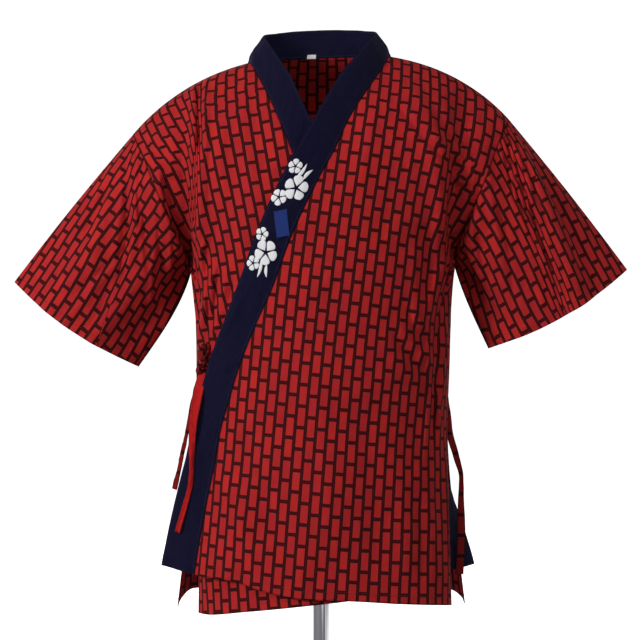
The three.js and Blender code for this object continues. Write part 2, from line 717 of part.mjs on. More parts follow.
// ---- ties ----
// A strip along a path: width across it, and how far it is turned from facing forward, in degrees.
const PATH = ["x", "y", "z", "width", "turn"];
function ribbon(rows) {
  const centres = rows.map((r) => vec(r.x, r.y, r.z));
  const points = [];
  const directions = [];
  rows.forEach((r, i) => {
    const before = centres[Math.max(0, i - 1)];
    const along = centres[Math.min(rows.length - 1, i + 1)].clone().sub(before).normalize();
    const turn = (r.turn * Math.PI) / 180;
    const facing = vec(Math.sin(turn), -Math.cos(turn), 0);
    facing.addScaledVector(along, -facing.dot(along)).normalize();
    const across = facing.clone().cross(along);
    points.push([-0.5, 0, 0.5].map((q) => centres[i].clone().addScaledVector(across, q * r.width)));
    directions.push([facing, facing, facing]);
  });
  return wall(points, directions, TIE);
}
const OUTER_LONG = table(PATH, [
  [-153, -52.5, 518.2, 7, -30],
  [-153, -65, 500, 11, -25],
  [-157, -74, 476, 11, -15],
  [-162, -73, 451, 11, -10],
  [-163, -71, 425, 10, 0],
  [-161, -71, 398, 10, 8],
  [-164, -69, 374, 9, 0],
  [-169, -66, 349, 8, -10],
  [-179, -61, 312, 8, -16],
]);
const OUTER_SHORT = table(PATH, [
  [-159, -49.5, 518.4, 6, -45],
  [-165, -48, 480, 7, -50],
  [-171, -45, 438, 6, -55],
  [-178, -42, 400, 6, -50],
  [-186, -38, 364, 6, -40],
]);
const INNER_TAIL = table(PATH, [
  [161.9, -4, 474, 7, 70],
  [166, -6, 448, 7, 60],
  [171, -9, 424, 6, 40],
  [178, -12, 394, 5, 20],
  [182, -14, 365, 5, 10],
  [183, -15, 330, 8, 15],
  [183.5, -16, 303, 11, 20],
  [179, -17, 255, 9, 10],
]);
addPiece("tie_outer_long", ribbon(OUTER_LONG), "printed_cotton");
addPiece("tie_outer_short", ribbon(OUTER_SHORT), "printed_cotton");
addPiece("tie_inner", ribbon(INNER_TAIL), "printed_cotton");

// The knot is a bunched ball of cloth with soft lobes.
const KNOT = { centre: vec(-154.6, -50.4, 532), radii: vec(10.5, 8.5, 12.5), lobes: 0.13 };
function knot() {
  const ball = new THREE.SphereGeometry(1, 18, 12);
  const geometry = mergeVertices(ball.deleteAttribute("uv").deleteAttribute("normal"), 1e-4);
  const p = geometry.getAttribute("position");
  for (let i = 0; i < p.count; i += 1) {
    const q = vec(p.getX(i), p.getY(i), p.getZ(i));
    const round = Math.atan2(q.z, q.x);
    q.multiplyScalar(1 + KNOT.lobes * Math.sin(3 * round + 0.6) * (1 - q.y * q.y));
    q.multiply(KNOT.radii).add(KNOT.centre);
    p.setXYZ(i, q.x, q.y, q.z);
  }
  return geometry;
}
addPiece("tie_outer_knot", knot(), "printed_cotton");

// ---- the dress form: a smooth torso without neck or arms, just inside the jacket ----
const FORM_FLOOR = 330; // height of its flat underside
const FORM_LEVELS = [90, 120, 160, 200, 240, 280, 320, 360, 400, 430, 460, 490, 520, 550, 580]
  .concat(LEVELS.filter((v) => v >= CROWN && v < V_TOP - 8));
const FORM_HALF = 20; // steps across the front, and as many across the back
const FORM_SIDE = 5; // steps round each side
const NECK_CUT = { z: 806, x: -8, slope: 1.15 }; // the neck is cut away in a V
// How far the form's skin lies inside the middle of the cloth, at a level and at the side.
const FORM_GAP = table(["v", "middle", "side"], [
  [90, 15, 15],
  [280, 12, 12],
  [430, 10, 15],
  [540, 7, 17],
  [600, 3.5, 17],
  [640, 2, 17],
  [V_TOP, 2, 17],
]);
const FORM_REACH = table(["v", "w"], [
  [90, 0.97],
  [400, 0.97],
  [460, 0.9],
  [560, 0.85],
  [V_TOP, 0.82],
]);

function formSkin(panel, v, w) {
  const gap = rowAt(FORM_GAP, v);
  const inward = gap.middle + (gap.side - gap.middle) * smooth(0.5, 0.72, Math.abs(w));
  const p = smoothPoint({ ...panel, out: 0, swing: 0 }, v, w);
  return p.addScaledVector(panelNormal(panel, v, w), -inward);
}
function formLoop(v) {
  const reach = rowAt(FORM_REACH, v).w;
  const across = Array.from({ length: FORM_HALF + 1 }, (_, j) => reach * ((2 * j) / FORM_HALF - 1));
  const front = across.map((w) => formSkin(PANELS.under, v, w));
  const rear = across.map((w) => formSkin(PANELS.back, v, w)).reverse();
  const side = (from, to) => {
    const half = from.distanceTo(to) / 2;
    const middle = from.clone().lerp(to, 0.5);
    return Array.from({ length: FORM_SIDE - 1 }, (_, k) => {
      const turn = (Math.PI * (k + 1)) / FORM_SIDE;
      const q = middle.clone().lerp(from, Math.cos(turn));
      q.x += Math.sign(q.x) * 0.42 * half * Math.sin(turn);
      return q;
    });
  };
  const end = FORM_HALF;
  return [...front, ...side(front[end], rear[0]), ...rear, ...side(rear[end], front[0])].map((p) => {
    p.z = Math.min(p.z, NECK_CUT.z + NECK_CUT.slope * Math.abs(p.x - NECK_CUT.x));
    if (v === FORM_LEVELS[0]) p.z = FORM_FLOOR;
    return p;
  });
}
function formTorso() {
  const loops = FORM_LEVELS.map(formLoop);
  const n = loops[0].length;
  const position = loops.flat().flatMap((p) => [p.x, p.y, p.z]);
  const index = [];
  loops.slice(1).forEach((_, i) => {
    for (let j = 0; j < n; j += 1) {
      const [a, b] = [i * n + j, i * n + ((j + 1) % n)];
      index.push(a, b, b + n, a, b + n, a + n);
    }
  });
  // The underside and the crown are closed by strips from the front to the back.
  const pair = (j) => (2 * FORM_HALF + FORM_SIDE - j + n) % n;
  for (const [row, turned] of [
    [0, true],
    [loops.length - 1, false],
  ])
    for (let j = 0; j < FORM_HALF; j += 1) closeStrip(index, row * n, j, j + 1, pair, turned);
  for (const [row, turned] of [
    [0, true],
    [loops.length - 1, false],
  ]) {
    closeCap(index, row * n, sideRun(FORM_HALF, FORM_HALF + FORM_SIDE, n), turned);
    closeCap(index, row * n, sideRun(2 * FORM_HALF + FORM_SIDE, n, n), turned);
  }
  return closedGeometry(position, index);
}
const sideRun = (from, to, n) => Array.from({ length: to - from + 1 }, (_, i) => (from + i) % n);
function closeStrip(index, base, j, next, pair, turned) {
  const quad = [j, next, pair(next), pair(j)].map((k) => base + k);
  if (turned) quad.reverse();
  index.push(quad[0], quad[1], quad[2], quad[0], quad[2], quad[3]);
}
function closeCap(index, base, run, turned) {
  for (let i = 1; i < run.length - 1; i += 1) {
    const tri = [run[0], run[i], run[i + 1]].map((k) => base + k);
    if (turned) tri.reverse();
    index.push(...tri);
  }
}
addPiece("form_torso", formTorso(), "form_shell");

// ---- the stand: socket, pole, collar and base, turned on one axis ----
const ROUND = 36;
const POLE_RADIUS = 10;
const POLE_FIT = 0.3; // a turned piece stands this far from the one beside it
const BASE = { radius: 150, rim: 5, top: 12 };
const turned = (profile) =>
  mergeVertices(
    new THREE.LatheGeometry(profile.map(([r, z]) => new THREE.Vector2(r, z)), ROUND)
      .rotateX(Math.PI / 2)
      .deleteAttribute("uv")
      .deleteAttribute("normal"),
    1e-4,
  );
const ring = (inner, outer, z0, z1, bevel) => [
  [inner, z0],
  [outer, z0],
  [outer, z1 - bevel],
  [outer - bevel, z1],
  [inner, z1],
  [inner, z0],
];
const closedTurn = (profile) => {
  const geometry = turned(profile);
  const index = [...geometry.getIndex().array];
  return closedGeometry([...geometry.getAttribute("position").array], index);
};
addPiece(
  "base",
  closedTurn([
    [0, 0],
    [BASE.radius - 1.5, 0],
    [BASE.radius, 1.5],
    [BASE.radius, BASE.rim],
    [BASE.radius - 2, BASE.rim + 2],
    [BASE.radius * 0.6, BASE.top - 1.5],
    [40, BASE.top],
    [0, BASE.top],
  ]),
  "chrome",
);
addPiece(
  "pole",
  closedTurn([
    [0, BASE.top + POLE_FIT],
    [POLE_RADIUS, BASE.top + POLE_FIT],
    [POLE_RADIUS, FORM_FLOOR - POLE_FIT],
    [0, FORM_FLOOR - POLE_FIT],
  ]),
  "chrome",
);
const BORE = POLE_RADIUS + POLE_FIT;
addPiece("base_collar", closedTurn(ring(BORE, 20, BASE.top + POLE_FIT, 34, 3)), "chrome");
addPiece("form_socket", closedTurn(ring(BORE, 22, 302, FORM_FLOOR - POLE_FIT, 0.5)), "chrome");

export default group;
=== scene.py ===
import math

import bpy
import numpy as np
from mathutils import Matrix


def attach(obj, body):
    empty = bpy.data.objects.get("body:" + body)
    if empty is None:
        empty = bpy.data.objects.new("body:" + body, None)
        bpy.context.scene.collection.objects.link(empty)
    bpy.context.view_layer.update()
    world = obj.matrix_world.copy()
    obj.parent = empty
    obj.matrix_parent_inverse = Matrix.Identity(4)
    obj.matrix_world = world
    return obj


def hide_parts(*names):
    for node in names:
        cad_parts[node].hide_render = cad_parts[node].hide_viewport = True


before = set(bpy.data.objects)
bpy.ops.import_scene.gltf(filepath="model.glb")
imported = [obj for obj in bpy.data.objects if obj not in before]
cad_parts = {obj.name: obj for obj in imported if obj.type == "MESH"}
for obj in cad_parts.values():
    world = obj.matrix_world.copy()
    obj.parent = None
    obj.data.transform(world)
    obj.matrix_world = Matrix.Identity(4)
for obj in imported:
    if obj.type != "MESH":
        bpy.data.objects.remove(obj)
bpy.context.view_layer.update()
scene = bpy.context.scene


# The two fronts: each one piece of printed cotton, hung over the form from the shoulder seam and
# sewn to the back at the side. The wearer's left one laps over the right. v runs up a panel in
# millimetres from the hem, w across it from -1 at the wearer's right edge to 1 at the left.
V_TOP, V_UNDERARM, V_SLIT, HEM_REACH = 720.0, 410.0, 200.0, 300.0
LAP, SIDE_INSET, RIGHT_TRIM, UNDER_TRIM, LEAN = 5.5, 6.0, 0.5, 9.0, 0.040
LEFT_EASE = 5.0  # the side seam swings out a little under the wearer's left arm
CLOTH = 1.1  # wall of a single cloth, millimetres
SEAM = 0.25  # how far a piece ends short of a seam

# columns: v, midY, midZ, sideX, sideY, sideZ, round, drop
FRONT = np.array([
    [0, -118, 236, 163, -34, 215, 0.97, 2.2],
    [50, -118, 286, 162, -27, 270, 0.98, 2.2],
    [100, -118, 336, 161, -18, 326, 0.99, 2.2],
    [150, -118, 386, 160.5, -8, 382, 1, 2.2],
    [200, -118, 436, 160, 0, 434, 1, 2.2],
    [280, -117, 516, 158, 0, 516, 1, 2.2],
    [340, -118, 576, 159, 0, 576, 1, 2.2],
    [410, -121, 646, 165, 0, 645, 1, 2.2],
    [470, -120, 706, 176, -36, 676, 0.86, 2.6],
    [530, -113, 764, 191, -56, 712, 0.72, 2.6],
    [590, -95, 819, 206, -62, 748, 0.62, 2.5],
    [640, -70, 861, 219, -50, 781, 0.55, 2.4],
    [685, -36, 896, 230, -27, 805, 0.52, 2.3],
    [705, -17, 910, 235.5, -13, 816.5, 0.5, 2.3],
    [720, 0, 914, 238, 0, 821, 0.5, 2.3],
])
BACK = np.array([
    [0, 106, 230, 184, 26, 211, 0.95, 2.4],
    [50, 106, 280, 177, 20, 267, 0.97, 2.4],
    [100, 105, 331, 170, 14, 322, 0.98, 2.2],
    [150, 105, 382, 163.5, 7, 379, 1, 2.2],
    [200, 104, 433, 160, 0, 434, 1, 2.2],
    [280, 102, 515, 158, 0, 516, 1, 2.2],
    [340, 103, 575, 159, 0, 576, 1, 2.2],
    [410, 106, 645, 165, 0, 645, 1, 2.2],
    [470, 108, 706, 176, 34, 676, 0.86, 2.6],
    [530, 106, 768, 191, 52, 712, 0.72, 2.6],
    [590, 97, 826, 206, 57, 748, 0.62, 2.5],
    [640, 79, 869, 219, 46, 781, 0.55, 2.4],
    [685, 40, 899, 230, 25, 805, 0.52, 2.3],
    [705, 18, 911, 235.5, 12, 816.5, 0.5, 2.3],
    [720, 0, 914, 238, 0, 821, 0.5, 2.3],
])
# columns: w, z of the hem
TOP_HEM = np.array([[-1, 262], [-0.8, 260], [-0.44, 255], [-0.31, 246], [-0.07, 235],
                    [0.14, 233], [0.41, 228], [1, 219]], float)
UNDER_HEM = np.array([[-1, 209], [-0.75, 210], [-0.4, 218], [-0.1, 226], [0.16, 233],
                      [0.45, 243], [0.75, 254], [1, 262]], float)
BACK_HEM = np.array([[-1, 209], [-0.9, 219], [-0.75, 229], [0, 232], [0.75, 228],
                     [0.9, 221], [1, 213]], float)

# Folds, from (w0, v0) to (w1, v1): half width and height in millimetres, below 0 for a trough.
FRONT_FOLDS = [
    [-0.88, 425, -0.74, 700, 18, -11], [0.88, 425, 0.75, 700, 18, -11],
    [-0.74, 430, -0.58, 600, 15, 5], [0.74, 430, 0.6, 600, 15, 5],
    [0.42, 665, 0.7, 560, 14, 5], [0.54, 650, 0.78, 550, 13, -2.5],
    [0.48, 320, 0.8, 430, 12, 4.5], [0.62, 300, 0.9, 390, 11, -4.5],
    [-0.84, 300, -0.6, 400, 11, 4.5], [-0.9, 310, -0.78, 400, 9, -4],
    [-0.2, 20, 0.16, 190, 30, 3], [0.3, 10, 0.5, 220, 26, -3],
]
BACK_FOLDS = [
    [-0.9, 425, -0.75, 690, 16, -10], [0.9, 425, 0.75, 690, 16, -10],
    [-0.72, 430, -0.6, 600, 16, 5], [0.72, 430, 0.6, 600, 16, 5],
    [-0.3, 560, 0.25, 590, 18, 3.5], [-0.55, 300, -0.35, 400, 18, -4],
    [0.5, 290, 0.36, 410, 20, -4], [-0.34, 10, -0.22, 200, 28, 4],
    [0.3, 10, 0.18, 210, 30, 4], [0, 20, 0.03, 180, 24, -3],
]
# The finer folds that lie between them on each panel.
TOP_FINE = [
    [0.66, 640, 0.86, 560, 6, 2.4], [0.7, 600, 0.92, 500, 5, -2.2], [0.8, 620, 0.93, 560, 5, 2.2],
    [0.55, 360, 0.82, 460, 6, 2.2], [0.7, 340, 0.95, 420, 5, -2.2], [0.5, 280, 0.86, 370, 6, 2.2],
    [0.66, 250, 0.93, 330, 5, -2], [0.75, 225, 0.8, 330, 5, 2.6], [0.68, 210, 0.7, 330, 6, -1.8],
    [0.2, 420, 0.6, 480, 12, 1.6], [-0.3, 330, 0.1, 400, 14, 1.4], [0.1, 240, 0.5, 290, 13, 1.4],
    [0.86, 30, 0.82, 190, 7, 2], [0.7, 20, 0.72, 170, 9, -1.6], [-0.5, 40, -0.2, 190, 14, 1.6],
]
UNDER_FINE = [
    [-0.9, 318, -0.62, 470, 5, 2.4], [-0.82, 305, -0.5, 430, 5, 2.2],
    [-0.72, 300, -0.42, 380, 6, 2],
    [-0.88, 330, -0.8, 500, 5, -2], [-0.93, 340, -0.9, 480, 4, 2.2],
    [-0.66, 470, -0.5, 620, 9, 1.8],
    [-0.5, 500, -0.3, 640, 12, -1.5], [-0.86, 560, -0.8, 680, 7, 2.2],
    [-0.6, 620, -0.5, 700, 9, 1.5],
    [-0.78, 20, -0.74, 160, 9, 2], [-0.5, 20, -0.45, 190, 12, -1.6],
]
BACK_FINE = [
    [-0.6, 600, -0.86, 520, 7, 2.4], [0.6, 600, 0.86, 520, 7, 2.4], [-0.5, 430, -0.84, 380, 8, 2.4],
    [0.5, 430, 0.84, 380, 8, -2.2], [-0.2, 360, 0.2, 380, 16, 2], [-0.62, 240, -0.5, 360, 10, 2.2],
    [0.62, 240, 0.55, 370, 10, 2.2], [-0.7, 20, -0.62, 170, 12, 2.4], [0.7, 20, 0.62, 170, 12, 2.4],
    [0.1, 480, 0.5, 520, 14, 1.6], [-0.5, 500, -0.1, 470, 14, 1.6], [0.45, 30, 0.4, 180, 14, -2],
]
HALF_WIDTH = 205.0  # about half a panel, measured along the cloth


def smooth(a, b, t):
    s = np.clip((t - a) / (b - a), 0, 1)
    return s * s * (3 - 2 * s)


def curve(rows, t):
    """A table's other columns at values t of its first, on a smooth curve with no overshoot."""
    rows = rows if rows[0, 0] < rows[-1, 0] else rows[::-1]
    x, y = rows[:, 0], rows[:, 1:]
    rise = np.diff(y, axis=0) / np.diff(x)[:, None]
    before, after = np.vstack([rise[:1], rise]), np.vstack([rise, rise[-1:]])
    both = before + after
    slope = np.where(before * after > 0, 2 * before * after / np.where(both == 0, 1, both), 0)
    t = np.clip(t, x[0], x[-1])
    i = np.clip(np.searchsorted(x, t, side="right") - 1, 0, len(x) - 2)
    h = (x[i + 1] - x[i])[..., None]
    s = ((t - x[i])[..., None]) / h
    return ((2 * s**3 - 3 * s**2 + 1) * y[i] + (s**3 - 2 * s**2 + s) * h * slope[i]
            + (-2 * s**3 + 3 * s**2) * y[i + 1] + (s**3 - s**2) * h * slope[i + 1])


def folded(folds, w, v, across=HALF_WIDTH):
    out = np.zeros(np.broadcast(w, v).shape)
    for w0, v0, w1, v1, half, height in folds:
        dw, dv = (w1 - w0) * across, v1 - v0
        along = ((w - w0) * across * dw + (v - v0) * dv) / (dw * dw + dv * dv)
        off = ((w - w0) * across * dv - (v - v0) * dw) / math.hypot(dw, dv)
        ends = smooth(-0.15, 0.3, along) * smooth(1.15, 0.7, along)
        out += height * ends * np.exp(-((off / half) ** 2))
    return out


class Panel:
    def __init__(self, rows, folds, hem, out=0.0, right=0.0, left=0.0, swing=0.0, corner=0.0,
                 fine=()):
        self.rows, self.hem, self.facing = rows, hem, -1 if rows is FRONT else 1
        self.folds, self.fine = folds, fine
        self.out, self.right, self.left = out, right, left
        self.swing, self.corner = swing, corner

    def half(self, sideX, w, v):
        corner = self.corner * (1 - smooth(0, V_SLIT, v))
        right = self.right - corner - RIGHT_TRIM * smooth(520, V_UNDERARM, v)
        left = self.left + LEFT_EASE * smooth(460, 400, v) * smooth(190, 300, v)
        return sideX + np.where(w < 0, right, left)

    def flat(self, v, w):
        v, w = np.broadcast_arrays(np.asarray(v, float), np.asarray(w, float))
        midY, midZ, sideX, sideY, sideZ, turn, drop = np.moveaxis(curve(self.rows, v), -1, 0)
        turn = turn * math.pi / 2
        a = np.abs(w) * turn
        x = np.sign(w) * self.half(sideX, w, v) * np.sin(a) / np.sin(turn)
        midY = midY - self.out * smooth(690, 600, v)
        sideY = sideY + np.where(w > 0, self.swing * (1 - smooth(0, V_SLIT, v)), 0)
        y = sideY + (midY - sideY) * (np.cos(a) - np.cos(turn)) / (1 - np.cos(turn))
        first = self.rows[0]
        hem = first[2] + (first[5] - first[2]) * np.abs(w) ** first[7]
        lift = curve(self.hem, w)[..., 0] - hem
        z = midZ + (sideZ - midZ) * np.abs(w) ** drop
        z = z + lift * (1 - np.clip(v / HEM_REACH, 0, 1)) ** 2
        return np.stack([x, y, z + LEAN * x * smooth(560, 820, z)], -1)

    def normal(self, v, w):
        v, w = np.broadcast_arrays(np.asarray(v, float), np.asarray(w, float))
        up = self.flat(np.minimum(V_TOP, v + 2), w) - self.flat(np.maximum(0, v - 2), w)
        side = self.flat(v, w + 0.004) - self.flat(v, w - 0.004)
        n = np.cross(up, side)
        n /= np.linalg.norm(n, axis=-1, keepdims=True)
        turn = w * math.pi / 2
        away = np.stack([np.sin(turn), self.facing * np.cos(turn), smooth(560, 720, v)], -1)
        return n * np.where((n * away).sum(-1) < 0, -1, 1)[..., None]

    def point(self, v, w, out=0.0, fine=True):
        v, w = np.broadcast_arrays(np.asarray(v, float), np.asarray(w, float))
        fold = folded(self.folds, w, v) * smooth(1, 0.9, np.abs(w))
        if fine and len(self.fine):
            fold = fold + folded(self.fine, w, v) * smooth(1, 0.94, np.abs(w))
        return self.flat(v, w) + self.normal(v, w) * (fold + out)[..., None]

    def across(self, v, x):
        """The w at which level v crosses x."""
        v, x = np.broadcast_arrays(np.asarray(v, float), np.asarray(x, float))
        sideX, turn = np.moveaxis(curve(self.rows, v), -1, 0)[[2, 5]]
        turn = turn * math.pi / 2
        share = np.minimum(1, np.abs(x) / self.half(sideX, x, v))
        return np.sign(x) * np.arcsin(share * np.sin(turn)) / turn


back_panel = Panel(BACK, BACK_FOLDS, BACK_HEM, fine=BACK_FINE)
under_panel = Panel(FRONT, FRONT_FOLDS, UNDER_HEM, left=-SIDE_INSET, swing=30, corner=UNDER_TRIM,
                    fine=UNDER_FINE)
top_panel = Panel(FRONT, FRONT_FOLDS, TOP_HEM, out=LAP, right=SIDE_INSET, swing=-10,
                  fine=TOP_FINE)

# The cut of the panels, from the sections: where the band's seam crosses each level of a front,
# and where the neck seam runs on the back. columns: v, seamX, edgeX, edgeY, edgeZ
TOP_BAND = np.array([
    [720, 88, 70, -2, 940], [690, 79, 60, -28, 928], [660, 66, 46, -52, 908],
    [631, 52, 28, -73, 886], [592, 33, 5, -99, 848], [552, 16.8, -18, -117, 806],
    [518, -1, -38, -124, 771], [437, -38.5, -76, -120, 690], [380, -59, -97, -106, 632],
    [325, -83.5, -119, -91, 574], [280, -101, -136, -77, 530], [240, -113, -147, -68, 494],
    [200, -124, -157, -62, 456], [152, -132, -166, -59, 412], [105, -141, -178, -53, 364],
    [45, -151, -191, -45, 312], [0, -157, -199, -38, 269],
])
UNDER_BAND = np.array([
    [720, -92, -72, -2, 936], [700, -86, -66, -20, 926], [668, -75, -54, -46, 906],
    [631, -62, -40, -66, 884], [592, -49, -24, -88, 848], [552, -35, -4, -104, 806],
    [518, -20, 14, -110, 774], [437, 17, 54, -110, 690], [380, 42, 80, -98, 632],
    [325, 68, 104, -84, 574], [280, 90, 122, -66, 530], [240, 106, 134, -54, 494],
    [200, 116, 141, -42, 452], [152, 130, 151, -12, 404], [105, 149, 168, 10, 350],
    [45, 152, 183, 10, 306], [0, 153, 195, 4, 266],
])
NECK_V, NECK_RISE, NECK_DEPTH = 703.0, 12.0, 58.0


def unit(n):
    return n / np.maximum(1e-9, np.linalg.norm(n, axis=-1, keepdims=True))


def seam_w(panel, rows, v):
    return panel.across(v, curve(rows, v)[..., 0])


NECK_LEFT = float(seam_w(top_panel, TOP_BAND, V_TOP))
NECK_RIGHT = float(seam_w(under_panel, UNDER_BAND, V_TOP))


def neck_share(w):
    return np.clip(np.abs(w / np.where(w > 0, NECK_LEFT, NECK_RIGHT)), 0, 1)


def neck_level(w):
    return NECK_V + (V_TOP - NECK_V) * neck_share(w) ** 3


def neck_w(turn):
    c = np.cos(turn)
    return c * np.where(c > 0, NECK_LEFT, -NECK_RIGHT)


def band_ends(side, along):
    if side == "neck":
        w = neck_w(along)
        seam = back_panel.point(neck_level(w), w, fine=False)
        free = np.stack([71 * np.cos(along) - 1, -2 + NECK_DEPTH * np.sin(along),
                         938 + 2 * np.cos(along) + NECK_RISE * np.sin(along)], -1)
        return seam, free
    panel, rows = (top_panel, TOP_BAND) if side == "top" else (under_panel, UNDER_BAND)
    r = curve(rows, along)
    return panel.point(along, panel.across(along, r[..., 0]), fine=False), r[..., 1:4]


def band_frame(side, along):
    seam, free = band_ends(side, along)
    step = 0.02 if side == "neck" else 1.5
    low, high = along - step, along + step
    if side != "neck":
        low, high = np.maximum(0, low), np.minimum(V_TOP, high)
    run = band_ends(side, high)[0] - band_ends(side, low)[0]
    width = free - seam
    out = np.cross(width, run)
    out = unit(out)
    away = seam[..., 0] * out[..., 0] + (seam[..., 1] + 10) * out[..., 1]
    return seam, width, out * np.where(away < 0, -1, 1)[..., None]


def mitre(a, b):
    d = unit(a + b)
    return d / np.maximum(0.55, (d * a).sum(-1))[..., None]


# Sleeves are needed here for the seams: each runs from its armhole to a flattened cuff. h goes
# down its front or back, 0 at the top line to 1 at the underarm; t from the armhole to the cuff.
SLEEVE_FLAT, ARM_FALL, CUFF_FRONT, CUFF_BACK = 240.0, V_TOP - V_UNDERARM, 42.0, 40.0
# folds: h0, t0, h1, t1, half, out
SLEEVES = {
    "sleeve_left": dict(
        side=1, top=(388.4, 0, 639.6), low=(213, 0, 540), bow=(2, 3), sweep=(10, 14),
        folds=[[0.08, -0.04, 0.4, 1.1, 13, 6], [0.2, -0.02, 0.52, 1.1, 13, -5],
               [0.02, 0.1, 0.28, 1.1, 12, -3.5], [0.62, 0, 0.75, 1.1, 16, 4],
               [0.9, 0.1, 0.88, 0.9, 14, -4]],
        fine=[[0.3, 0.05, 0.66, 1.1, 7, 2.4], [0.44, 0.1, 0.8, 0.9, 6, -2],
              [0.5, -0.02, 0.6, 0.5, 6, 2.4], [0.7, 0, 0.84, 0.5, 5, 2.2],
              [0.84, 0, 0.9, 0.45, 5, -2], [0.12, 0.1, 0.22, 0.8, 6, 1.8]]),
    "sleeve_right": dict(
        side=-1, top=(-389, 0, 624), low=(-232, 0, 517), bow=(2, 8), sweep=(8, 10),
        folds=[[0.15, 0, 0.62, 0.55, 14, -6], [0.05, 0.06, 0.45, 0.7, 13, 4],
               [0.3, 0.35, 0.3, 1.1, 16, 3.5], [0.7, 0.3, 0.66, 1.1, 15, 4],
               [0.88, 0.1, 0.86, 0.9, 14, -4]],
        fine=[[0.1, 0.02, 0.5, 0.5, 5, 2.6], [0.5, 0.5, 0.44, 1.05, 7, 2.2],
              [0.3, 0.02, 0.7, 0.4, 5, 2.4], [0.5, 0, 0.8, 0.3, 5, -2.2],
              [0.66, 0, 0.9, 0.3, 5, 2.2], [0.52, 0.3, 0.4, 0.8, 6, -2.4]]),
}


def arm_panel(sleeve, face):
    return back_panel if face == "back" else (top_panel if sleeve["side"] > 0 else under_panel)


def bare(panel):
    """The panel as the armholes know it, with no lap and no inset."""
    plain = Panel(panel.rows, panel.folds, panel.hem)
    plain.swing, plain.corner = panel.swing, panel.corner
    return plain


def sleeve_point(sleeve, face, h, t):
    h, t = np.broadcast_arrays(np.asarray(h, float), np.asarray(t, float))
    side = sleeve["side"]
    a = bare(arm_panel(sleeve, face)).flat(V_TOP - ARM_FALL * h, side)
    deep = np.sin(math.pi * np.clip(h, 0, 1)) ** 0.85
    top, low = np.array(sleeve["top"], float), np.array(sleeve["low"], float)
    chord = low - top
    down = unit(np.array([chord[2], 0, -chord[0]]))
    down = -down if down[2] > 0 else down
    c = top + chord * h[..., None]
    c[..., 1] = deep * (CUFF_BACK if face == "back" else -CUFF_FRONT)
    sweep = sleeve["sweep"][1 if face == "back" else 0]
    c = c + down * (sweep * np.sin(math.pi * h))[..., None]
    bow = sleeve["bow"][0] * np.sin(math.pi * t) * (1 - h) ** 2
    sag = sleeve["bow"][1] * np.sin(math.pi * np.clip(t, 0, 1) ** 0.75) * h**3
    p = a + (c - a) * t[..., None]
    p[..., 0] += side * (bow * 0.75 - sag * 0.85)
    p[..., 2] += bow * 0.65 - sag * 0.4
    return p


def sleeve_normal(sleeve, face, h, t):
    e = 0.01
    h, t = np.broadcast_arrays(np.asarray(h, float), np.asarray(t, float))
    h = np.clip(h, e, 1 - e)
    n = unit(np.cross(sleeve_point(sleeve, face, h + e, t) - sleeve_point(sleeve, face, h - e, t),
                      sleeve_point(sleeve, face, h, t + e) - sleeve_point(sleeve, face, h, t - e)))
    middle = (sleeve_point(sleeve, "front", 0.5, t) + sleeve_point(sleeve, "back", 0.5, t)) / 2
    away = (n * (sleeve_point(sleeve, face, h, t) - middle)).sum(-1)
    return n * np.where(away < 0, -1, 1)[..., None]


def arm_normal(sleeve, face, h, t):
    """The sleeve's own direction; on its two seams, where front and back meet, it has no Y."""
    n = sleeve_normal(sleeve, face, h, t)
    other = sleeve_normal(sleeve, "back" if face == "front" else "front", h, t)
    seam = unit((n + other) * [1, 0, 1])
    h = np.broadcast_to(np.asarray(h, float), n.shape[:-1])
    near = (smooth(0.03, 0, h) + smooth(0.97, 1, h))[..., None]
    return unit(n * (1 - near) + seam * near)


def armhole_normal(sleeve, face, v):
    v = np.asarray(v, float)
    n = arm_panel(sleeve, face).normal(v, sleeve["side"] * 0.985)
    near = (smooth(V_TOP - 10, V_TOP, v) + smooth(V_UNDERARM + 10, V_UNDERARM, v))[..., None]
    return unit(n * (1 - near) + unit(n * [1, 0, 1]) * near)


def turned_back(sleeve, face, h):
    meet = (arm_normal(sleeve, face, h, 0.02)
            * armhole_normal(sleeve, face, V_TOP - ARM_FALL * h)).sum(-1)
    return smooth(0.3, -0.2, meet)


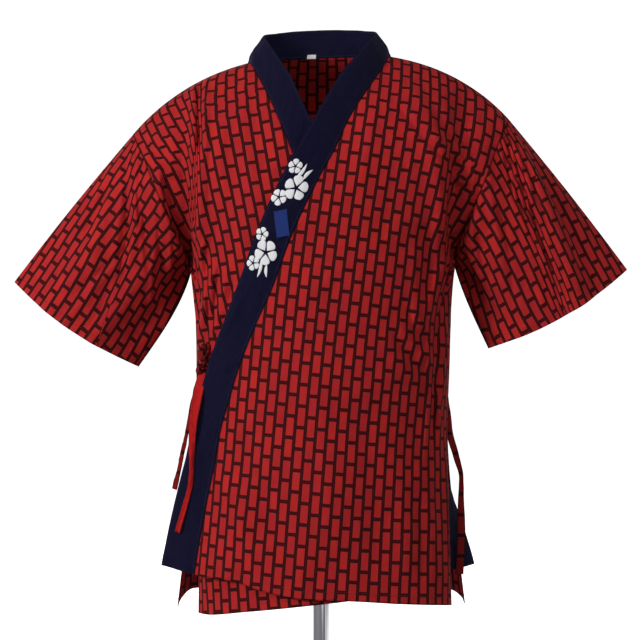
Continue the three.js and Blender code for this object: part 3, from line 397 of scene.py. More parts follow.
# The creases that the jacket has taken on its form, on everything that faces forward: half width
# and height in millimetres, and the line each runs along in x and z. Below 0 is a trough.
CREASES = [
    (5.5, 6.0, ((-161, 905), (-160, 850), (-158, 812), (-161, 765), (-166, 730))),
    (5, 3.6, ((-144, 905), (-143, 850), (-142, 812), (-143, 760))),
    (3.6, -7, ((-152.5, 905), (-152, 850), (-150.5, 812), (-152, 765))),
    (6.2, 3.4, ((89, 864), (101, 845), (118, 824), (138, 801), (160, 779), (184, 769))),
    (5, -2.8, ((92, 847), (107, 825), (127, 801), (147, 780), (164, 762))),
    (5, 2.6, ((101, 820), (116, 803), (133, 784), (153, 764))),
    (6.2, 2.2, ((143, 808), (156, 791), (174, 784), (192, 777))),
    (5, -2.4, ((158, 801), (175, 792), (192, 787))),
    (6.2, 2.4, ((160, 762), (172, 749), (187, 744))),
    (12.4, 2.2, ((70, 872), (60, 796), (38, 716))),
    (14.9, -1.8, ((94, 808), (87, 735), (70, 649))),
    (8.7, 3, ((145, 723), (143, 661), (143, 600))),
    (7.4, -2.8, ((131, 696), (131, 637), (133, 586))),
    (8.7, 2.6, ((114, 679), (116, 620), (120, 576))),
    (6.2, 3.2, ((89, 586), (104, 556), (126, 533), (148, 515))),
    (5, -3, ((84, 571), (99, 542), (116, 522), (138, 500))),
    (6.2, 2.4, ((72, 564), (89, 530), (109, 508), (126, 488))),
    (5, 2.6, ((109, 605), (121, 576), (143, 549))),
    (5, -2.4, ((103, 596), (114, 566), (133, 542))),
    (4.3, 3.4, ((134, 574), (134, 515), (132, 454), (127, 385))),
    (4, -3.2, ((142, 574), (142, 515), (139, 454), (134, 390))),
    (5, 2.4, ((150, 503), (147, 466), (148, 417))),
    (3.7, 2.4, ((142, 493), (145, 466), (153, 434))),
    (3.7, -2.2, ((147, 498), (150, 469), (155, 442))),
    (14.9, 2.6, ((-131, 403), (-99, 332), (-72, 249))),
    (16.1, -2.2, ((-101, 429), (-65, 344), (-31, 244))),
    (19.8, 2, ((-26, 564), (1, 454), (11, 332), (6, 246))),
    (19.8, -1.8, ((38, 503), (62, 405), (72, 246))),
    (12.4, 2.2, ((94, 429), (101, 332), (104, 234))),
    (8.7, -2, ((118, 381), (123, 307), (126, 234))),
    (7.4, 2.2, ((138, 356), (142, 295), (143, 234))),
    (4, 3.4, ((-145, 691), (-149, 647), (-145, 593), (-142, 543))),
    (3.7, -3, ((-138, 683), (-142, 635), (-140, 586), (-140, 543))),
    (3.7, 3, ((-131, 679), (-134, 635), (-137, 588), (-138, 544))),
    (3.7, -2.6, ((-122, 666), (-129, 618), (-134, 578), (-138, 544))),
    (4, 2.8, ((-112, 652), (-122, 605), (-131, 571), (-137, 543))),
    (3.7, -2.4, ((-104, 635), (-115, 593), (-126, 561), (-134, 539))),
    (3.7, 2.6, ((-154, 647), (-153, 600), (-144, 545))),
    (4.3, 2, ((-94, 613), (-109, 578), (-128, 544))),
    (6.2, 4, ((-151, 806), (-150, 747), (-153, 691), (-150, 647))),
    (7.4, -4, ((-138, 808), (-137, 747), (-138, 691))),
    (8.7, 2.2, ((-123, 832), (-121, 771), (-121, 708))),
    (12.4, 1.8, ((-104, 864), (-92, 784), (-79, 708))),
    (12.4, -1.5, ((-84, 857), (-72, 796), (-62, 747))),
    (5, 3.4, ((214, 822), (234, 779), (253, 720), (276, 656), (295, 604))),
    (3.7, -3.4, ((221, 822), (241, 779), (261, 720), (283, 656), (301, 606))),
    (3.7, 2.8, ((227, 822), (247, 779), (267, 720), (290, 656), (307, 609))),
    (3.7, -2.4, ((234, 817), (254, 777), (274, 720), (296, 661))),
    (7.4, 2.6, ((197, 812), (207, 764), (217, 701), (232, 601))),
    (7.4, -2.4, ((187, 726), (199, 676), (214, 601), (224, 556))),
    (7.4, 2.6, ((179, 694), (188, 649), (199, 594))),
    (6.2, 2.4, ((204, 847), (224, 829), (249, 789))),
    (11.2, 2.4, ((269, 789), (307, 726), (342, 661))),
    (11.2, -2, ((285, 731), (315, 676), (337, 626))),
    (5.6, 4.2, ((-234, 807), (-234, 764), (-234, 725), (-229, 688), (-238, 654), (-247, 631))),
    (5, -3.6, ((-226, 799), (-224, 764), (-224, 725), (-221, 691), (-227, 656))),
    (4.3, -3, ((-243, 794), (-244, 764), (-244, 726), (-241, 689), (-248, 659))),
    (4.3, 3.2, ((-252, 799), (-266, 767), (-281, 734), (-297, 704), (-320, 661))),
    (4.3, -2.6, ((-246, 789), (-259, 758), (-274, 726), (-290, 696), (-310, 659))),
    (6.2, 2.6, ((-224, 789), (-212, 774), (-194, 762))),
    (5, -2.6, ((-219, 797), (-206, 784), (-189, 774))),
    (6.2, 2.6, ((-212, 756), (-202, 731), (-197, 699))),
    (5, 3, ((-204, 679), (-211, 639), (-214, 579))),
    (5, -2.6, ((-197, 681), (-202, 639), (-206, 576))),
    (11.2, 2.4, ((-272, 689), (-295, 649), (-322, 606))),
    (11.2, -2, ((-249, 649), (-269, 611), (-290, 563))),
]
STEPS = [
    (8.7, 8, ((212, 827), (236, 779), (256, 719), (278, 655), (300, 601))),
]
# The two armpits, where the cloth falls back between the body and the sleeve: how far it sinks,
# how far the sleeve's fold and the body's fold stand out beside it, and the lines of those folds.
ARMPITS = [
    (14, 13, 5, ((-200, 772), (-197, 742), (-192, 719), (-187, 701), (-179, 682),
                 (-171, 662), (-165, 645)),
     ((-171, 775), (-167, 750), (-164, 726), (-163, 701), (-162, 676), (-161, 645))),
    (14, 11, 4, ((203, 757), (195, 724), (186, 698), (178, 677), (169, 657), (163, 640)),
     ((160, 760), (157, 724), (156, 700), (156, 670), (156, 640))),
]


def near_line(line, x, z):
    """Distance to a line, the share of the way along it, and the side it lies on."""
    line = np.array(line, float)
    spans = np.linalg.norm(np.diff(line, axis=0), axis=1)
    far = np.full(x.shape, 1e9)
    share, side = np.zeros(x.shape), np.zeros(x.shape)
    for n, (a, b) in enumerate(zip(line[:-1], line[1:])):
        d = b - a
        s = np.clip(((x - a[0]) * d[0] + (z - a[1]) * d[1]) / (d @ d), 0, 1)
        gap = np.hypot(x - a[0] - s * d[0], z - a[1] - s * d[1])
        closer = gap < far
        far = np.where(closer, gap, far)
        share = np.where(closer, (spans[:n].sum() + s * spans[n]) / spans.sum(), share)
        side = np.where(closer, np.sign((x - a[0]) * d[1] - (z - a[1]) * d[0]), side)
    return far, share, side


def turn_grain(cut, points, line, soft, lean, low, high):
    """Turns the print on the armhole side of a fold by a lean in degrees between two levels; the
    fold takes in the cloth between."""
    x, z = points[..., 0], points[..., 2]
    far, _, side = near_line(line, x, z)
    beyond = 0.5 * (1 + np.tanh(far * side / soft)) * (x < 0)
    made = cut.copy()
    made[..., 0] += math.tan(math.radians(lean)) * (high - np.clip(z, low, high)) / 1000 * beyond
    return made


def armpit(x, z):
    """How far forward the armpits put the cloth: below 0 between their folds."""
    out = np.zeros(x.shape)
    for depth, sleeve_rise, body_rise, outer, inner in ARMPITS:
        way = -np.sign(outer[0][0])
        far, along, side = near_line(outer, x, z)
        gap, _, edge = near_line(inner, x, z)
        past, short = -far * side * way, gap * edge * way
        within = 0.25 * (1 + np.tanh(past / 2.0)) * (1 + np.tanh(short / 2.0))
        out -= depth * within * smooth(0, 0.35, along)
        ends = smooth(0, 0.65, along)
        out += sleeve_rise * 0.5 * (1 - np.tanh(past / 2.0)) * np.exp(-((far / 17) ** 2)) * ends
        out += body_rise * 0.5 * (1 - np.tanh(short / 2.0)) * np.exp(-((gap / 12) ** 2)) * ends
    return out


def crease(points, share, hollow=0.0):
    """Moves a grid of points towards the front by the creases that cross it. hollow is how much
    deeper a trough may be where no form lies behind the cloth."""
    x, z = points[..., 0], points[..., 2]
    out = np.zeros(x.shape)
    for half, height, line in CREASES:
        far, along, _ = near_line(line, x, z)
        start, end = smooth(0, 0.3, along), smooth(1, 0.7, along)
        out += 1.35 * height * start * end / (1 + (far / half) ** 2) ** 1.5
    for half, height, line in STEPS:
        far, along, side = near_line(line, x, z)
        ends = smooth(0, 0.3, along) * smooth(1.4, 0.7, along)
        out -= height * ends * side * np.tanh(far / half) * np.exp(-((far / (6 * half)) ** 2))
    out += armpit(x, z)
    deepest = 3 + 4 * smooth(830, 760, z) + hollow  # the form lies close behind the chest
    made = points.copy()
    made[..., 1] -= np.maximum(out, -deepest) * share
    return made


SEAM_REACH = 31.0  # how far from a seam its creases have faded out


def below_neck(v):
    """0 at the shoulder seam and the neck, 1 where the creases have their full depth."""
    return smooth(V_TOP, V_TOP - SEAM_REACH, v)


def front_share(v, w):
    """How far the creases reach: not into the shoulder seam, nor into the side seams."""
    above_underarm = smooth(V_UNDERARM, V_UNDERARM + SEAM_REACH, v)
    side = 1 - (1 - smooth(1, 0.9, np.abs(w))) * (1 - above_underarm)
    return below_neck(v) * side


# A cloth is a closed thin wall: an outer and an inner face joined round its rim. Face 0 lies on the
# side the directions point to. Its UV map holds the flat cut in metres.
def shell(name, points, directions, thickness, flat, around=False, marks=None):
    rows, cols = points.shape[:2]
    half_wall = directions * (thickness / 2)
    verts = np.concatenate([points + half_wall, points - half_wall])
    verts = verts.reshape(-1, 3) / 1000
    ids = np.arange(rows * cols).reshape(rows, cols)
    right = np.roll(ids, -1, axis=1) if around else ids
    a, b = (ids[:-1], right[:-1]) if around else (ids[:-1, :-1], ids[:-1, 1:])
    d, c = (ids[1:], right[1:]) if around else (ids[1:, :-1], ids[1:, 1:])
    n = rows * cols
    outer = np.stack([a, b, c, d], -1).reshape(-1, 4)
    inner = np.stack([a, d, c, b], -1).reshape(-1, 4) + n
    rims = []
    lines = [(ids[0], False), (ids[-1], True)]
    if not around:
        lines += [(ids[:, 0], True), (ids[:, -1], False)]
    for line, turned in lines:
        line = np.append(line, line[0]) if around else line
        p, q = line[:-1], line[1:]
        quad = np.stack([q, p, p + n, q + n], -1)
        rims.append(quad[:, ::-1] if turned else quad)
    faces = np.concatenate([outer, inner, *rims])
    corner = verts[faces]
    volume = np.einsum("ij,ij->", corner[:, 0], np.cross(corner[:, 1], corner[:, 2]))
    volume += np.einsum("ij,ij->", corner[:, 0], np.cross(corner[:, 2], corner[:, 3]))
    uv = np.concatenate([flat.reshape(-1, 2)] * 2)[faces] if not around else None
    if around:
        # the flat cut's last column lies one round further on than its first
        whole_turn = (flat[:, -1:] - flat[:, :1]) * cols / (cols - 1)
        step = np.concatenate([flat, flat[:, :1] + whole_turn], axis=1)
        p, q = step[:-1, :-1], step[:-1, 1:]
        s, r = step[1:, :-1], step[1:, 1:]
        out_uv = np.stack([p, q, r, s], 2).reshape(-1, 4, 2)
        in_uv = np.stack([p, s, r, q], 2).reshape(-1, 4, 2)
        rim_uv = []
        for line, turned in ((step[0], False), (step[-1], True)):
            quad = np.stack([line[1:], line[:-1], line[:-1], line[1:]], 1)
            rim_uv.append(quad[:, ::-1] if turned else quad)
        uv = np.concatenate([out_uv, in_uv, *rim_uv])
    if volume < 0:
        faces, uv = faces[:, ::-1], uv[:, ::-1]
    mesh = bpy.data.meshes.new(name)
    mesh.vertices.add(len(verts))
    mesh.vertices.foreach_set("co", verts.ravel())
    mesh.loops.add(faces.size)
    mesh.loops.foreach_set("vertex_index", faces.ravel())
    mesh.polygons.add(len(faces))
    mesh.polygons.foreach_set("loop_start", np.arange(0, faces.size, 4))
    mesh.uv_layers.new(name="cut")
    mesh.uv_layers["cut"].data.foreach_set("uv", uv.ravel())
    for mark, grid in (marks or {}).items():
        kept = mesh.attributes.new(mark, "FLOAT", "POINT")
        kept.data.foreach_set("value", np.tile(grid.reshape(-1), 2).astype(np.float32))
    mesh.update(calc_edges=True)
    mesh.validate()
    mesh.shade_smooth()
    piece = bpy.data.objects.new(name, mesh)
    scene.collection.objects.link(piece)
    return piece


def blend_rows(coarse, fine):
    """Weights that carry values at one set of stations to another on a smooth curve."""
    out = np.zeros((len(fine), len(coarse)))
    for n, t in enumerate(fine):
        i = int(np.clip(np.searchsorted(coarse, t, side="right") - 1, 0, len(coarse) - 2))
        h = coarse[i + 1] - coarse[i]
        s = (t - coarse[i]) / h
        for k, weight in ((i, 2 * s**3 - 3 * s**2 + 1), (i + 1, -2 * s**3 + 3 * s**2)):
            out[n, k] += weight
        for k, weight in ((i, s**3 - 2 * s**2 + s), (i + 1, s**3 - s**2)):
            a, b = max(0, k - 1), min(len(coarse) - 1, k + 1)
            share = weight * h / (coarse[b] - coarse[a])
            out[n, b] += share
            out[n, a] -= share
    return out


def lay_flat(points, passes=500, keep=26, finer=(70, 160)):
    """The flat cut of a hung cloth: its grid of points laid out so that its threads keep their
    lengths. Metres, with x across the piece and y up it."""
    across = np.cumsum(np.linalg.norm(np.diff(points, axis=1), axis=-1), axis=1) / 1000
    across = np.hstack([np.zeros((len(points), 1)), across])
    up = np.cumsum(np.linalg.norm(np.diff(points, axis=0), axis=-1), axis=0) / 1000
    up = np.vstack([np.zeros((1, points.shape[1])), up])
    flat = np.stack([across - across[:, points.shape[1] // 2][:, None], up], -1)
    for stations, times in ((keep, passes), finer) if finer else ((keep, passes),):
        rows = np.unique(np.linspace(0, points.shape[0] - 1, stations).round().astype(int))
        cols = np.unique(np.linspace(0, points.shape[1] - 1, stations).round().astype(int))
        chosen = np.ix_(rows, cols)
        laid = settle_flat(flat[chosen], points[chosen] / 1000, across[chosen], up[chosen], times)
        down = blend_rows(rows.astype(float), np.arange(points.shape[0], dtype=float))
        over = blend_rows(cols.astype(float), np.arange(points.shape[1], dtype=float))
        flat = flat + np.einsum("ri,ijk,cj->rck", down, laid - flat[chosen], over)
    return flat


def settle_flat(flat, p, across, up, passes):
    pairs = [(np.s_[:, :-1], np.s_[:, 1:], np.diff(across, axis=1)),
             (np.s_[:-1, :], np.s_[1:, :], np.diff(up, axis=0))]
    for a, b in ((np.s_[:-1, :-1], np.s_[1:, 1:]), (np.s_[:-1, 1:], np.s_[1:, :-1])):
        pairs.append((a, b, np.linalg.norm(p[b] - p[a], axis=-1)))
    for _ in range(passes):
        move = np.zeros_like(flat)
        for a, b, length in pairs:
            d = flat[b] - flat[a]
            now = np.maximum(1e-9, np.linalg.norm(d, axis=-1))
            fix = d * ((1 - length / now) / 8)[..., None]
            move[a] += fix
            move[b] -= fix
        flat = flat + move
    return flat


def set_grain(flat, points, at, lean):
    """Turns and shifts a flat cut so that at a place on the hung piece, in x and z, the print's
    columns lean that many degrees to the right, and a brick is centred there."""
    i, j = np.unravel_index(np.argmin((points[..., 0] - at[0]) ** 2
                                      + (points[..., 2] - at[1]) ** 2),
                            points.shape[:2])
    i, j = np.clip(i, 4, points.shape[0] - 5), np.clip(j, 4, points.shape[1] - 5)
    seen = np.stack([points[i + 4, j] - points[i - 4, j],
                     points[i, j + 4] - points[i, j - 4]])[:, [0, 2]]
    cut = np.stack([flat[i + 4, j] - flat[i - 4, j], flat[i, j + 4] - flat[i, j - 4]])
    lean = math.radians(lean)
    share = np.linalg.solve(seen.T, [math.sin(lean), math.cos(lean)])
    up = share @ cut
    t = math.atan2(up[0], up[1])
    turn = np.array([[math.cos(t), -math.sin(t)], [math.sin(t), math.cos(t)]])
    return (flat - flat[i, j]) @ turn.T + [0.5 * COLUMN, 0.5 * DROP]


def edge_gaps(points):
    """Distance in metres from each place of a grid to its first and last row and column."""
    up = np.cumsum(np.linalg.norm(np.diff(points, axis=0), axis=-1), axis=0) / 1000
    up = np.vstack([np.zeros((1, points.shape[1])), up])
    over = np.cumsum(np.linalg.norm(np.diff(points, axis=1), axis=-1), axis=1) / 1000
    over = np.hstack([np.zeros((points.shape[0], 1)), over])
    return up, up[-1:] - up, over, over[:, -1:] - over


def grid_normals(points, toward, around=False):
    if around:
        side = np.roll(points, -1, axis=1) - np.roll(points, 1, axis=1)
    else:
        side = np.gradient(points, axis=1)
    n = unit(np.cross(np.gradient(points, axis=0), side))
    return n * np.where((n * toward).sum(-1) < 0, -1, 1)[..., None]


def ripple(shape, cells, seed):
    """Small soft unevenness of a cloth, between about -1 and 1, the same every time."""
    made = np.random.default_rng(seed)
    total = np.zeros(shape)
    for down, over, size in cells:
        coarse = made.normal(size=(down + 1, over + 1))
        rows = blend_rows(np.arange(down + 1.0), np.linspace(0, down, shape[0]))
        cols = blend_rows(np.arange(over + 1.0), np.linspace(0, over, shape[1]))
        total += size * rows @ coarse @ cols.T
    return total


def rim_fade(shape, top=6, side=6, ends=(1, 1, 1, 1)):
    """0 on the named edges of a grid (first row, last row, first and last column), 1 inside."""
    i = np.arange(shape[0])[:, None]
    j = np.arange(shape[1])[None, :]
    fade = np.ones(shape)
    for wanted, away, width in ((ends[0], i, top), (ends[1], shape[0] - 1 - i, top),
                                (ends[2], j, side), (ends[3], shape[1] - 1 - j, side)):
        if wanted:
            fade = fade * smooth(0, width, away)
    return fade


def side_direction(panel, v, side):
    face = "back" if panel is back_panel else "front"
    sleeve = SLEEVES["sleeve_left" if side > 0 else "sleeve_right"]
    h = np.clip((V_TOP - v) / ARM_FALL, 0, 1)
    body = armhole_normal(sleeve, face, np.maximum(v, V_UNDERARM))
    turned = turned_back(sleeve, face, h)
    arm = mitre(body, arm_normal(sleeve, face, h, 0.02))
    above = arm + (body - arm) * turned[..., None]
    n = np.where((v < V_UNDERARM)[..., None], np.array([side, 0.0, 0.0]), above)
    return np.where((v < V_SLIT)[..., None], panel.normal(v, side), n)


def hang_panel(panel, v, w, seed, ends):
    """A panel's middle surface and directions at a grid of places."""
    points = panel.point(v, w)
    toward = panel.normal(v, w)
    uneven = ripple(points.shape[:2], ((9, 6, 0.35), (26, 17, 0.28), (60, 36, 0.12)), seed)
    points = points + toward * (uneven * rim_fade(uneven.shape, 10, 8, ends))[..., None]
    if panel is not back_panel:
        points = crease(points, front_share(v, w))
    directions = grid_normals(points, toward)
    facing = 1 if panel is back_panel else -1
    for column, side in ((0, -1), (-1, 1)):
        if abs(w[-1, column]) > 0.999 and np.sign(w[-1, column]) == side:
            level = v[:, column] if v.shape[1] > 1 else v[:, 0]
            directions[:, column] = side_direction(panel, level, side)
            seam = (level > V_SLIT) & (level <= V_UNDERARM + 12)
            points[seam, column, 1] += facing * SEAM / 2
            points[level >= V_UNDERARM, column, 0] -= side * SEAM / 2
    return points, directions


def front_piece(name, panel, side, rows, seed, columns=150, levels=250):
    v = np.repeat(np.linspace(0, V_TOP, levels)[:, None], columns, axis=1)
    start = seam_w(panel, rows, v[:, :1])
    w = start + (side - start) * np.linspace(0, 1, columns)[None, :] ** 0.95
    points, directions = hang_panel(panel, v, w, seed, (0, 1, 1, 1))
    label = "top" if panel is top_panel else "under"
    directions[:, 0] = mitre(panel.normal(v[:, 0], w[:, 0]), band_frame(label, v[:, 0])[2])
    points[-1, :, 1] = -SEAM / 2
    ridge = unit(directions[-2] * [1, 0, 1])
    directions[-1] = ridge / np.maximum(0.6, (ridge * directions[-2]).sum(-1))[:, None]
    return name, points, directions


# The printed cotton: deep red bricks in a half drop on a maroon ground, each with a fine dark line
# round it, screened on plain weave. It takes its place on the cloth from the flat cut.
class Value:
    """A node socket that can be added, multiplied and so on with others and with numbers."""

    def __init__(self, look, socket):
        self.look, self.socket = look, socket

    def maths(self, operation, *others, clamp=False):
        node = self.look.node("ShaderNodeMath", operation=operation, use_clamp=clamp)
        for n, value in enumerate((self, *others)):
            self.look.feed(value, node.inputs[n])
        return Value(self.look, node.outputs[0])

    def __add__(self, other):
        return self.maths("ADD", other)

    def __sub__(self, other):
        return self.maths("SUBTRACT", other)

    def __mul__(self, other):
        return self.maths("MULTIPLY", other)

    def __truediv__(self, other):
        return self.maths("DIVIDE", other)

    def __rsub__(self, other):
        return (self * -1.0).maths("ADD", other)

    def __radd__(self, other):
        return self.maths("ADD", other)

    def __rmul__(self, other):
        return self.maths("MULTIPLY", other)

    def __abs__(self):
        return self.maths("ABSOLUTE")

    def floor(self):
        return self.maths("FLOOR")

    def part(self):
        return self.maths("FRACT")

    def least(self, other):
        return self.maths("MINIMUM", other)

    def most(self, other):
        return self.maths("MAXIMUM", other)

    def above(self, edge, soft):
        """0 below the edge, 1 above it, over a soft width."""
        return ((self - edge) / soft + 0.5).maths("MULTIPLY", 1.0, clamp=True)


class Look:
    """A node material, with its nodes added in the order in which they are asked for."""

    def __init__(self, name, **constants):
        self.material = bpy.data.materials.new(name)
        self.material.use_nodes = True
        self.tree = self.material.node_tree
        self.tree.nodes.clear()
        self.shader = self.node("ShaderNodeBsdfPrincipled")
        for socket, value in constants.items():
            self.shader.inputs[socket.replace("_", " ")].default_value = value
        end = self.node("ShaderNodeOutputMaterial")
        self.tree.links.new(self.shader.outputs[0], end.inputs["Surface"])

    def node(self, kind, inputs=None, **settings):
        made = self.tree.nodes.new(kind)
        for key, value in settings.items():
            setattr(made, key, value)
        for socket, value in (inputs or {}).items():
            self.feed(value, made.inputs[socket])
        return made

    def feed(self, value, socket):
        if isinstance(value, Value):
            value = value.socket
        if isinstance(value, bpy.types.NodeSocket):
            self.tree.links.new(value, socket)
        else:
            socket.default_value = value

    def out(self, kind, output, inputs=None, **settings):
        return Value(self, self.node(kind, inputs, **settings).outputs[output])

    def split(self, vector):
        made = self.node("ShaderNodeSeparateXYZ", {"Vector": vector})
        return Value(self, made.outputs[0]), Value(self, made.outputs[1])

    def join(self, x, y, z=0.0):
        return self.out("ShaderNodeCombineXYZ", 0, {"X": x, "Y": y, "Z": z})

    def mix(self, share, low, high):
        made = self.node("ShaderNodeMix", {0: share}, data_type="RGBA")
        self.feed(low, made.inputs[6])
        self.feed(high, made.inputs[7])
        return Value(self, made.outputs[2])

    def noise(self, vector, scale, detail=2.0, output="Fac"):
        return self.out("ShaderNodeTexNoise", output,
                        {"Vector": vector, "Scale": scale, "Detail": detail})

    def cut(self):
        """The place on the flat cut, in metres."""
        return self.node("ShaderNodeUVMap", uv_map="cut").outputs[0]

    def weave(self, x, y, pitch):
        """Plain weave: each thread goes over and under its neighbours."""
        across = (x * (math.pi / pitch)).maths("SINE")
        up = (y * (math.pi / pitch)).maths("SINE")
        over = (x / pitch).floor() + (y / pitch).floor()
        turn = (over * 0.5).part().above(0.25, 0.01)
        return abs(across) * turn + abs(up) * (1.0 - turn)

    def mark(self, name):
        """A distance kept on the cloth, such as that to its nearest hem."""
        return Value(self, self.node("ShaderNodeAttribute", attribute_name=name).outputs["Fac"])

    def surface(self, colour=None, roughness=None, height=None, strength=0.3, distance=0.001):
        if colour is not None:
            self.feed(colour, self.shader.inputs["Base Color"])
        if roughness is not None:
            self.feed(roughness, self.shader.inputs["Roughness"])
        if height is not None:
            bump = self.node("ShaderNodeBump", {"Height": height, "Strength": strength,
                                                "Distance": distance})
            self.tree.links.new(bump.outputs[0], self.shader.inputs["Normal"])
        return self.material


COLUMN, DROP = 0.0131, 0.0261  # pitch of the bricks across and along the cloth, metres
BRICK_WIDE, BRICK_LONG = 0.0096, 0.0222
# each brick's red is a little its own
BRICK_REDS = ((0.40, 0.016, 0.018, 1), (0.53, 0.022, 0.018, 1), (0.46, 0.017, 0.026, 1))
GROUND = (0.046, 0.0012, 0.0040, 1)
OUTLINE = (0.010, 0.0006, 0.0025, 1)
BRICK_EDGE = (0.26, 0.030, 0.022, 1)


def printed_cotton(name):
    look = Look(name, Specular_IOR_Level=0.02, Sheen_Weight=0.015, Sheen_Roughness=0.5)
    look.shader.inputs["Sheen Tint"].default_value = (1.0, 0.55, 0.55, 1)
    place = look.cut()
    # the screen lays the ink with a slightly uneven edge
    stray = look.noise(place, 420.0, 1.0) - 0.5
    x, y = look.split(place)
    column = (x / COLUMN).floor()
    lower = (column * 0.5).part().above(0.25, 0.01)
    run = y / DROP + lower * 0.5
    row = run.floor()
    dx = abs((x / COLUMN).part() - 0.5) * COLUMN - BRICK_WIDE / 2
    dy = abs(run.part() - 0.5) * DROP - BRICK_LONG / 2
    outside = dx.most(dy) + stray * 0.0006
    which = look.out("ShaderNodeTexWhiteNoise", "Value", {"Vector": look.join(column, row)},
                     noise_dimensions="3D")
    again = look.out("ShaderNodeTexWhiteNoise", "Value", {"Vector": look.join(row, column, 3.0)},
                     noise_dimensions="3D")
    red = look.mix(which, BRICK_REDS[0], BRICK_REDS[1])
    red = look.mix(again * 0.5, red, BRICK_REDS[2])
    wash = look.noise(place, 60.0, 3.0)
    red = look.mix(wash.above(0.62, 0.5) * 0.35, red, (0.30, 0.008, 0.012, 1))
    colour = look.mix(outside.above(-0.0008, 0.0005), red, BRICK_EDGE)
    colour = look.mix(outside.above(-0.0002, 0.0004), colour, OUTLINE)
    colour = look.mix(outside.above(0.0011, 0.0006), colour, GROUND)
    weave = look.weave(x, y, 0.00042)
    thread = look.noise(look.join(x * 0.15, y, 0.0), 2600.0, 1.0) * 0.5 + look.noise(
        look.join(x, y * 0.15, 1.0), 2600.0, 1.0) * 0.5
    # Painted highlight: where the weave's crests and the stronger threads rise, the red is
    # lightened towards a pale red.
    colour = look.mix((weave * 0.4 + thread * 0.6).above(0.75, 1.0) * 0.14, colour,
                      (0.62, 0.10, 0.09, 1))
    crumple = look.noise(place, 45.0, 3.0)
    # a hem is turned twice and stands a little proud; a seam lies in a groove and puckers
    hem, seam = look.mark("hem"), look.mark("seam")
    turned = 1.0 - hem.above(0.0115, 0.0012)
    groove_and_painted_shade = 1.0 - seam.above(0.0012, 0.0024)
    near = 1.0 - hem.least(seam).above(0.010, 0.016)
    pucker = look.noise(place, 230.0, 1.0) * near
    height = (weave * 0.1 + thread * 0.1 + crumple * 2.6
              + turned * 0.45 - groove_and_painted_shade * 0.7 + pucker * 0.7)
    # Painted shade: the cloth in a seam's groove is darkened towards near black.
    colour = look.mix(groove_and_painted_shade * 0.6, colour, (0.012, 0.0008, 0.002, 1))
    return look.surface(colour, 0.74 + thread * 0.16, height, strength=0.7, distance=0.0016)


printed = printed_cotton("printed cotton")


def dress(piece, material, slot, *nodes):
    piece.data.materials.append(material)
    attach(piece, "root")
    if nodes:
        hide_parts(*nodes)


def cloth_size(flat):
    size = flat.reshape(-1, 2).max(0) - flat.reshape(-1, 2).min(0)
    return float(size[0]), float(size[1])


def slit_rows(points):
    """The rows of a panel that lie beside its slit, between its corner and its top."""
    return slice(3, int(V_SLIT / V_TOP * len(points)) - 3)


def inset_line(points, directions, edge, inset, lift):
    """A line that follows one edge of a cloth at a distance from it, on its outer face."""
    turn = {"first row": lambda g: g, "last row": lambda g: g[::-1],
            "first column": lambda g: g.transpose(1, 0, 2),
            "last column": lambda g: g[:, ::-1].transpose(1, 0, 2)}[edge]
    p, n = turn(points), turn(directions)
    gap = np.cumsum(np.linalg.norm(np.diff(p, axis=0), axis=-1), axis=0)
    gap = np.vstack([np.zeros((1, p.shape[1])), gap])
    i = np.clip((gap < inset).sum(0) - 1, 0, len(p) - 2)
    cols = np.arange(p.shape[1])
    f = ((inset - gap[i, cols]) / (gap[i + 1, cols] - gap[i, cols]))[:, None]
    line = p[i, cols] * (1 - f) + p[i + 1, cols] * f
    facing = unit(n[i, cols] * (1 - f) + n[i + 1, cols] * f)
    return line + facing * lift, facing


hem_lines, HEM, SEW_LIFT = [], 10.5, CLOTH / 2 + 0.12

# The two fronts. The wearer's left front lies on top and shows whole; the right one shows at its
# sleeve, at the throat and at the free corner beside the slit.
for name, panel, side, rows, seed, at, lean in (
    ("front_top_cloth", top_panel, 1, TOP_BAND, 11, (5, 509), 5.5),
    ("front_under_cloth", under_panel, -1, UNDER_BAND, 12, (-112, 857), -6.0),
):
    name, points, directions = front_piece(name, panel, side, rows, seed)
    flat = lay_flat(points)
    levels = np.linspace(0, V_TOP, len(points))[:, None]
    low, high, first, last = edge_gaps(points)
    slit = np.where(levels < V_SLIT, last, 1.0)
    marks = {"hem": np.minimum(low, slit),
             "seam": np.minimum(np.minimum(high, first), np.where(levels < V_SLIT, 1.0, last))}
    cut = set_grain(flat, points, at, lean)
    if panel is under_panel:  # the fold down from the wearer's right shoulder turns the print
        cut = turn_grain(cut, points,
                         ((-155, 930), (-154, 850), (-152, 812), (-154, 765), (-159, 700)),
                         5, 22, 765, 885)
    piece = shell(name, points, directions, CLOTH, cut, marks=marks)
    hem_lines.append(inset_line(points, directions, "first row", HEM, SEW_LIFT))
    beside_slit = slit_rows(points)
    hem_lines.append(inset_line(points[beside_slit], directions[beside_slit], "last column",
                                HEM, SEW_LIFT))
    dress(piece, printed, "printed_cotton", name.replace("_cloth", ""))


# The back: one piece of the same printed cotton from the neck seam to the hem, sewn to the
# fronts at the shoulders and down the sides to the slits.
def back_piece(seed, columns=190, levels=160):
    w = np.repeat(np.linspace(-1, 1, columns)[None, :], levels, axis=0)
    open_neck = (w > NECK_RIGHT) & (w < NECK_LEFT)
    end = np.where(open_neck, neck_level(w), V_TOP)
    v = np.linspace(0, 1, levels)[:, None] * end
    points, directions = hang_panel(back_panel, v, w, seed, (0, 1, 1, 1))
    shut = ~open_neck[-1]
    points[-1, shut, 1] = SEAM / 2
    ridge = unit(directions[-2] * [1, 0, 1])
    share = np.maximum(0.6, (ridge * directions[-2]).sum(-1))
    directions[-1, shut] = (ridge / share[:, None])[shut]
    turn = np.arccos(np.clip(np.sign(w[-1]) * neck_share(w[-1]), -1, 1))
    across = mitre(back_panel.normal(v[-1], w[-1]), band_frame("neck", turn)[2])
    directions[-1, ~shut] = across[~shut]
    return points, directions


